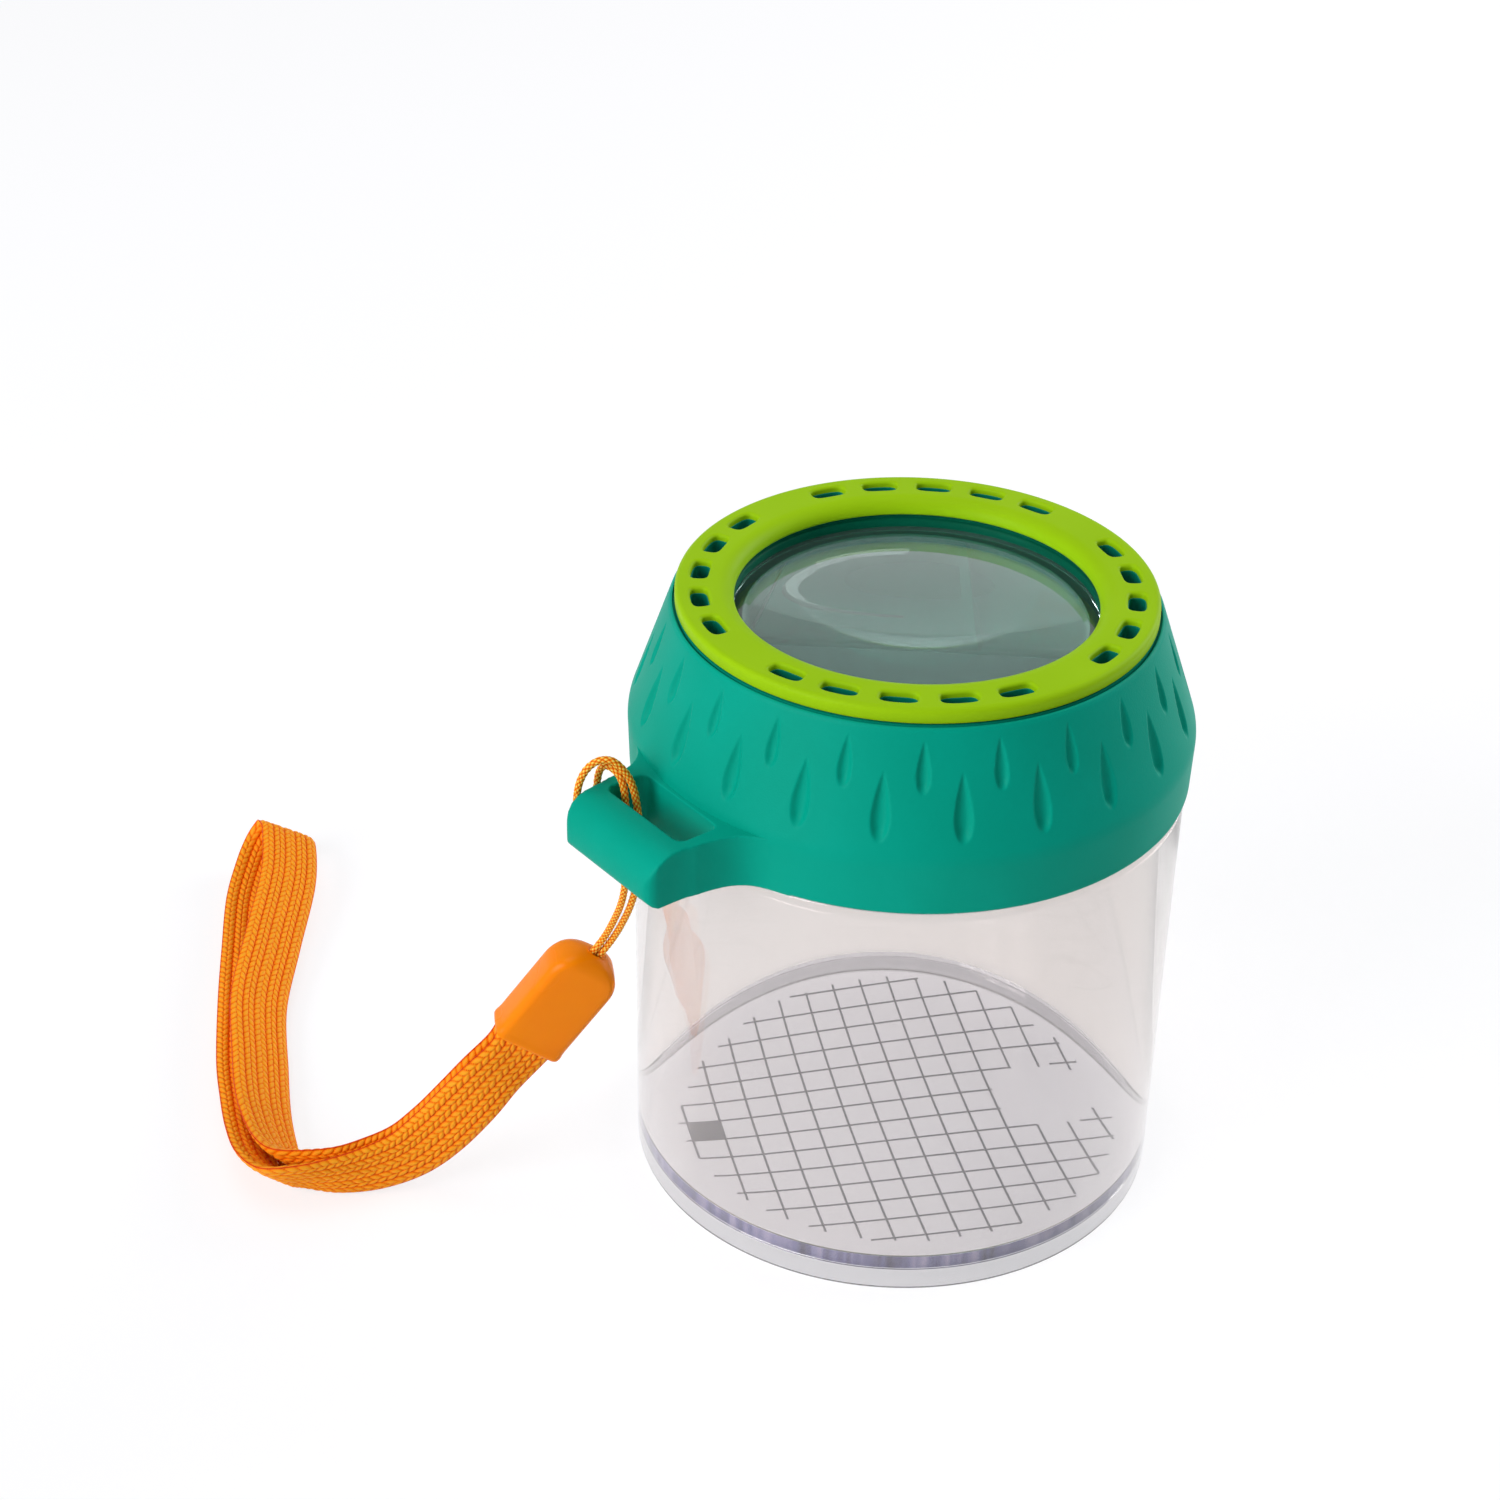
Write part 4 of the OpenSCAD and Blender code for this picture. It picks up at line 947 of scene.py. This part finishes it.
class BUGJAR_OT_vent_ring(bpy.types.Operator):
    """Add the lime vent ring with its twenty air slots"""
    bl_idname = "bug_jar.vent_ring"
    bl_label = "Vent ring"

    def execute(self, context):
        # Moulded ABS, nearly smooth: an even lime that shades softly over the rolled inner edge
        finish = moulded_plastic("moulded ABS, fine satin, lime", (finishes().ring_colour, "#98C50C"),
                                 grain_mm=0.3, grain=0.1, roughness=0.45, shine=0.05)
        side_out = arc(RING_R - RING_EDGE, RING_TOP - RING_EDGE, RING_EDGE, 90, 0, 6)
        side_out += [(RING_R, TOP_Z + 0.5), (RING_R - 0.1, TOP_Z + 0.35), (RING_FOOT_R, TOP_Z + 0.3),
                     (RING_FOOT_R, TOP_Z)]
        side_in = [(RING_IN_R + RING_ROLL[0] * x, RING_TOP - RING_ROLL[1] + RING_ROLL[1] * y)
                   for x, y in arc(1, 0, 1, 90, 180, 12)]
        side_in += [(RING_IN_R + 0.15, TOP_Z + 0.12), (RING_IN_R + 0.5, TOP_Z + 0.08), (WELL_R - 0.15, TOP_Z)]
        points, faces = slotted_ring(WELL_R - 0.15, RING_FOOT_R, TOP_Z, RING_TOP,
                                     (RING_IN_R + RING_ROLL[0], RING_R - RING_EDGE), 0.5, (side_in, side_out))
        made = piece("vent_ring_cap", points, faces, "lid", "lime_plastic", finish, sharp=50)
        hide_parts("vent_ring")

        # Moulded ABS inside the slots: a darker teal, painted shade that reads as depth under the lime
        teal = moulded_plastic("moulded ABS, air slot sleeves, teal", ("#00806E", "#007A6A"),
                               grain_mm=0.3, grain=0.1, roughness=0.5, shine=0.1)
        parts, per = [], 40
        phi = 2 * math.pi * np.arange(per) / per
        for c in range(VENT_COUNT):
            if c % PEG_EVERY == 0:
                continue
            middle, walls = 2 * math.pi * c / VENT_COUNT, []
            for inset, z in ((0.02, DECK_Z), (0.02, RING_TOP - 1.0), (0.17, RING_TOP - 1.05), (0.17, DECK_Z)):
                hx, hy = slot_outline(-inset, phi)
                turn, r = middle + hx / VENT_R, VENT_R + hy
                walls.append(np.stack([r * np.cos(turn), r * np.sin(turn), np.full(per, z)], 1))
            parts.append((np.vstack(walls), quads(len(walls), per, closed=True)))
        piece("vent_sleeves", *join_parts(parts), "lid", "teal_plastic", teal)
        return {"FINISHED"}


class BUGJAR_OT_lens(bpy.types.Operator):
    """Add the clear magnifying lens"""
    bl_idname = "bug_jar.lens"
    bl_label = "Lens"

    def execute(self, context):
        # Clear acrylic, polished: a faint green body that bends the view of the jar below; the green is
        # partly its own tint and partly painted teal light from the collar's inside
        finish = clear_plastic("clear acrylic, polished lens", finishes().lens_tint,
                               roughness=0.0, clearness=0.95)

        def dome(z, rise, way):
            """Profile of a dome from the axis to its rim, up or down from z."""
            ball = (LENS_DOME_R ** 2 + rise ** 2) / (2 * rise)
            half = math.asin(LENS_DOME_R / ball)
            centre = z + way * (rise - ball)
            turns = [half * k / 40 for k in range(41)]
            return [(max(0.001, ball * math.sin(a)), centre + way * ball * math.cos(a)) for a in turns]

        low = dome(LENS_EDGE[0], LENS_RISE[0], -1)
        high = dome(LENS_EDGE[1], LENS_RISE[1], 1)
        profile = low + [(LENS_R - 0.2, LENS_EDGE[0]), (LENS_R, LENS_EDGE[0] + 0.2)]
        profile += [(LENS_R, LENS_EDGE[1] - 0.2), (LENS_R - 0.2, LENS_EDGE[1])] + high[::-1]
        points, faces = revolved(profile, LID_SEGMENTS, closed=False)
        made = piece("lens_blank", points, faces, "lens_carrier", "lens_clear", finish)
        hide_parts("lens")
        return {"FINISHED"}


def cord_path():
    """The cord's centreline, from one end in the clip round the loop and back."""
    at, along, wide, _ = ferrule_frame()
    levels = [CRIMP_LEN, FERRULE_LEN, FERRULE_LEN + 1.25 * CORD_D]
    out = [at + z * along + STRAND_PITCH / 2 * wide for z in levels]
    back = [at + z * along - STRAND_PITCH / 2 * wide for z in levels[::-1]]
    return out + [np.array(p, float) for p in CORD_ROUTE] + back


class BUGJAR_OT_cord(bpy.types.Operator):
    """Add the orange braided cord that hitches the strap to the loop"""
    bl_idname = "bug_jar.cord"
    bl_label = "Cord"

    def execute(self, context):
        # Braided polyester: small diamonds painted bright as highlight on a red-orange ground of painted
        # shade
        finish = braided_yarn("braided polyester cord, orange", [
            (0.08, "#AC1A00"), (0.32, "#F06A00"), (0.58, "#FFA818"), (0.9, "#FFE070")], fibre_mm=0.12)
        _, _, wide, _ = ferrule_frame()
        path, length = smooth_route(cord_path(), 0.13)

        def radius(a, s):
            """Radius and lift of the braid: two sets of strands that wind round the cord and cross."""
            one = np.abs(np.sin(2.5 * a + math.pi * s / BRAID_PITCH))
            two = np.abs(np.sin(2.5 * a - math.pi * s / BRAID_PITCH))
            lift = (one * two) ** 0.8
            return CORD_D / 2 * (0.8 + 0.2 * lift), lift * 0.9

        points, faces, lift = tube(path, CORD_SIDES, radius, wide)
        made = piece("braided_cord", points, faces, "lid", "orange_cord", finish, sharp=60, merge=False)
        set_lift(made, lift)
        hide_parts("cord")
        return {"FINISHED"}


class BUGJAR_OT_strap_end(bpy.types.Operator):
    """Add the moulded strap end and give the clip inside it its metal"""
    bl_idname = "bug_jar.strap_end"
    bl_label = "Strap end"

    def execute(self, context):
        # Moulded polypropylene, smooth: a glowing orange with clear highlights along its edges
        finish = moulded_plastic("moulded polypropylene, orange", (finishes().ferrule_colour, "#FA8400"),
                                 grain_mm=0.25, grain=0.05, roughness=0.26, shine=0.12, glow=0.1)
        at, along, wide, face = ferrule_frame()
        per, w, t, length = 64, FERRULE_W / 2, FERRULE_T / 2, FERRULE_LEN
        angle = 2 * math.pi * np.arange(per) / per

        def section(z, half_w, half_t, edge):
            """Points of a rounded rectangle across the strap end, z from its mouth."""
            edge = min(edge, half_w * 0.98, half_t * 0.98)

            def side(wave, half):
                return np.sign(wave) * (half - edge) * np.clip(np.abs(wave) / 0.3, 0, 1) + edge * wave

            x, y = side(np.cos(angle), half_w), side(np.sin(angle), half_t)
            return at + z * along + x[:, None] * wide + y[:, None] * face

        # The mouth with its small rolled lip, the body, the domed top and the hole for the cord
        lip = ((0.6, -0.9), (0.2, -0.8), (0.05, -0.6), (0, -0.35), (0.06, -0.08), (0.25, 0.1), (0.6, 0.15),
               (1.0, 0.12), (1.4, 0.05), (1.9, 0.01), (2.3, 0))
        rings = [section(z, w + grow, t + grow, 1.8 + grow) for z, grow in lip]
        top_w, top_t = w * 0.92, t * 0.8

        def rounding(z, top):
            """How far a side has drawn in at z, where its top is an arc of radius top."""
            up = max(0.0, (z - (length - top)) / top)
            return top * (1 - math.sqrt(max(0, 1 - up * up)))

        dome = length - top_w + top_w * np.sin(np.linspace(0.05, math.pi / 2 - 0.1, 26))
        rings += [section(z, w - rounding(z, top_w), t - rounding(z, top_t), 1.8)
                  for z in np.concatenate([np.linspace(3, length - top_w, 10), dome])]
        rings += [section(length, 1.75, 0.95, 0.9), section(length - 0.4, 1.55, 0.75, 0.75),
                  section(length - 6, 1.55, 0.75, 0.75)]
        n = len(rings)
        faces = quads(n, per) + [tuple(range(per))[::-1], tuple((n - 1) * per + j for j in range(per))]
        made = piece("strap_end", np.vstack(rings), faces, "lid", "orange_plastic", finish, sharp=50)
        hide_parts("ferrule")

        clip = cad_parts["crimp"]
        clip.data.materials.clear()
        # Nickel-plated steel, pressed: a bright metal glint with dull rub marks
        clip.data.materials.append(plated_steel("nickel-plated steel, pressed"))
        return {"FINISHED"}


def strap_stations():
    """Places along the strap's band: centre, direction across and direction out of its face."""
    at, along, wide, _ = ferrule_frame()

    def heads(points, i):
        """Direction of travel at a point of a route."""
        return unit(points[min(i + 1, len(points) - 1)] - points[max(i - 1, 0)])

    def station(place, t, lean):
        """A place on the band with its directions, from its heading and lean."""
        w = across(t, lean)
        return [place, w, np.cross(t, w)]

    shared_at = [at] + [np.array(s[:3], float) for s in STRAP_SHARED]
    shared_lean = [FERRULE_LEAN] + [s[3] for s in STRAP_SHARED]
    route = shared_at + [np.array(STRAP_OUTER[0][:3], float)]
    shared = [station(shared_at[i], -along if i == 0 else heads(route, i), shared_lean[i])
              for i in range(len(shared_at))]
    fold_at = np.array(STRAP_FOLD, float)

    def layer(points, after):
        """The stations of one layer between the shared run and the fold."""
        p = [shared_at[-1]] + [np.array(s[:3], float) for s in points] + [after]
        return [station(p[i], heads(p, i), points[i - 1][3]) for i in range(1, len(points) + 1)]

    shift = (STRAP_T + STRAP_GAP) / 2

    def side_layer(way):
        """The shared run's stations, moved to one of its two layers."""
        return [[s[0] - way * shift * s[2], s[1], s[2]] for s in shared]

    outer = layer(STRAP_OUTER, fold_at[0])
    inner = layer(STRAP_INNER, fold_at[-1])
    route = [outer[-1][0], *fold_at, inner[-1][0]]
    wide = np.array(FOLD_ACROSS) * (1 if outer[-1][1] @ np.array(FOLD_ACROSS) > 0 else -1)
    fold = []
    for i, place in enumerate(fold_at, 1):
        t = heads(route, i)
        w = unit(wide - (wide @ t) * t)
        fold.append([place, w, np.cross(t, w)])

    def turned(stations):
        """The same stations for a band that comes back the other way."""
        return [[s[0], s[1], -s[2]] for s in stations[::-1]]

    return side_layer(1) + outer + fold + turned(inner) + turned(side_layer(-1))


def stitches(u, s, pitch):
    """Height of the strap's braid, 0 in a gap and 1 on a stitch: u across from -1 to 1, s along."""
    place = (u + 1) / 2 * STITCH_COLUMNS
    column = np.clip(np.floor(place), 0, STITCH_COLUMNS - 1)
    x = place - column
    lean = np.where(column % 2 == 0, x, 1 - x)
    uneven = 0.07 * np.sin(s / pitch * 1.7 + column * 2.3) + 0.05 * np.sin(s / pitch * 0.53 + column * 5.1)
    phase = (s / pitch + 0.6 * lean + 0.5 * (column % 2) + uneven) % 1.0
    along = np.sqrt(np.clip(1 - np.abs(2 * phase - 1) ** 2.6, 0, 1))
    over = np.sqrt(np.clip(1 - np.abs(2 * x - 1) ** 3, 0, 1))
    return along * (0.25 + 0.75 * over)


class BUGJAR_OT_strap(bpy.types.Operator):
    """Add the braided wrist strap, one band folded in two"""
    bl_idname = "bug_jar.strap"
    bl_label = "Strap"

    def execute(self, context):
        # Braided polyester: rows of plump orange stitches with painted highlight on their crowns and
        # red-brown painted shade in the gaps, ribbed along the band
        finish = braided_yarn("braided polyester webbing, orange", [
            (0.1, "#BC1C00"), (0.34, "#F05600"), (0.63, "#FF8800"), (0.96, "#FFA822")], fibre_mm=0.16)
        table = np.array([np.concatenate(s) for s in strap_stations()])
        rows, length = smooth_route(table, 0.2)
        centre, wide, out = rows[:, :3], rows[:, 3:6], rows[:, 6:9]
        wide /= np.linalg.norm(wide, axis=1)[:, None]
        out -= (out * wide).sum(1)[:, None] * wide
        out /= np.linalg.norm(out, axis=1)[:, None]
        run = np.concatenate([[0], np.cumsum(np.linalg.norm(np.diff(centre, axis=0), axis=1))])
        per = 84
        u = 0.85 * np.linspace(-1, 1, per) - 0.15 * np.cos(np.pi * (np.arange(per) + 0.5) / per)
        thick = STRAP_T / 2 * (1 - np.abs(u) ** 4) ** 0.5
        rib = np.abs(np.sin(math.pi * (u + 1) / 2 * STRAP_RIBS))[None, :] ** 0.55
        pitch = sizes().stitch_pitch / MM
        sheets, lifts = [], []
        for way, shift in ((1, 0.0), (-1, 0.5)):
            lift = stitches(u[None, :] * way, run[:, None] + shift * pitch, pitch)
            depth = np.maximum(thick[None, :] - 0.22 * (1 - rib) - 0.36 * (1 - lift), 0.1)
            sheets.append(centre[:, None] + u[None, :, None] * STRAP_W / 2 * wide[:, None]
                          + way * depth[..., None] * out[:, None])
            # Painted shade: the colour also darkens in the grooves between the ribs
            lifts.append(lift * (0.55 + 0.45 * rib))
        n, ring = len(rows), 2 * per
        points = np.concatenate([sheets[0], sheets[1][:, ::-1]], 1).reshape(-1, 3)
        lift = np.concatenate([lifts[0], lifts[1][:, ::-1]], 1).ravel()
        faces = quads(n, ring)
        for base in (0, (n - 1) * ring):
            far = base + ring - 1
            faces += [(base + j, base + j + 1, far - 1 - j, far - j) for j in range(per - 1)]
        made = piece("wrist_strap", points, faces, "lid", "orange_webbing", finish, sharp=80, merge=False)
        set_lift(made, lift)
        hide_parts("strap")
        return {"FINISHED"}


STEPS = (BUGJAR_OT_stage, BUGJAR_OT_cord, BUGJAR_OT_jar_wall, BUGJAR_OT_floor, BUGJAR_OT_collar,
         BUGJAR_OT_vent_ring, BUGJAR_OT_lens, BUGJAR_OT_strap_end, BUGJAR_OT_strap)


class BUGJAR_PT_panel(bpy.types.Panel):
    """Lists the jar's values and the steps that build it"""
    bl_idname = "BUGJAR_PT_panel"
    bl_label = "Bug catcher jar"
    bl_space_type = "VIEW_3D"
    bl_region_type = "UI"
    bl_category = "Bug Jar"

    def draw(self, context):
        for group in (sizes(), finishes()):
            box = self.layout.box()
            for name in group.__annotations__:
                box.prop(group, name)
        for step in STEPS:
            self.layout.operator(step.bl_idname)


CLASSES = (BUGJAR_PG_finishes, BUGJAR_PG_sizes, *STEPS, BUGJAR_PT_panel)


def register():
    """Adds the jar's classes and its values to Blender."""
    for item in CLASSES:
        bpy.utils.register_class(item)
    bpy.types.Scene.bug_jar_finishes = bpy.props.PointerProperty(type=BUGJAR_PG_finishes)
    bpy.types.Scene.bug_jar_sizes = bpy.props.PointerProperty(type=BUGJAR_PG_sizes)


def unregister():
    """Takes them out again."""
    del bpy.types.Scene.bug_jar_sizes
    del bpy.types.Scene.bug_jar_finishes
    for item in reversed(CLASSES):
        bpy.utils.unregister_class(item)


def main():
    """Builds the jar step by step."""
    register()
    jar = bpy.ops.bug_jar
    jar.stage()
    jar.cord()
    jar.jar_wall()
    jar.floor()
    jar.collar()
    jar.vent_ring()
    jar.lens()
    jar.strap_end()
    jar.strap()


if __name__ == "__main__":
    main()
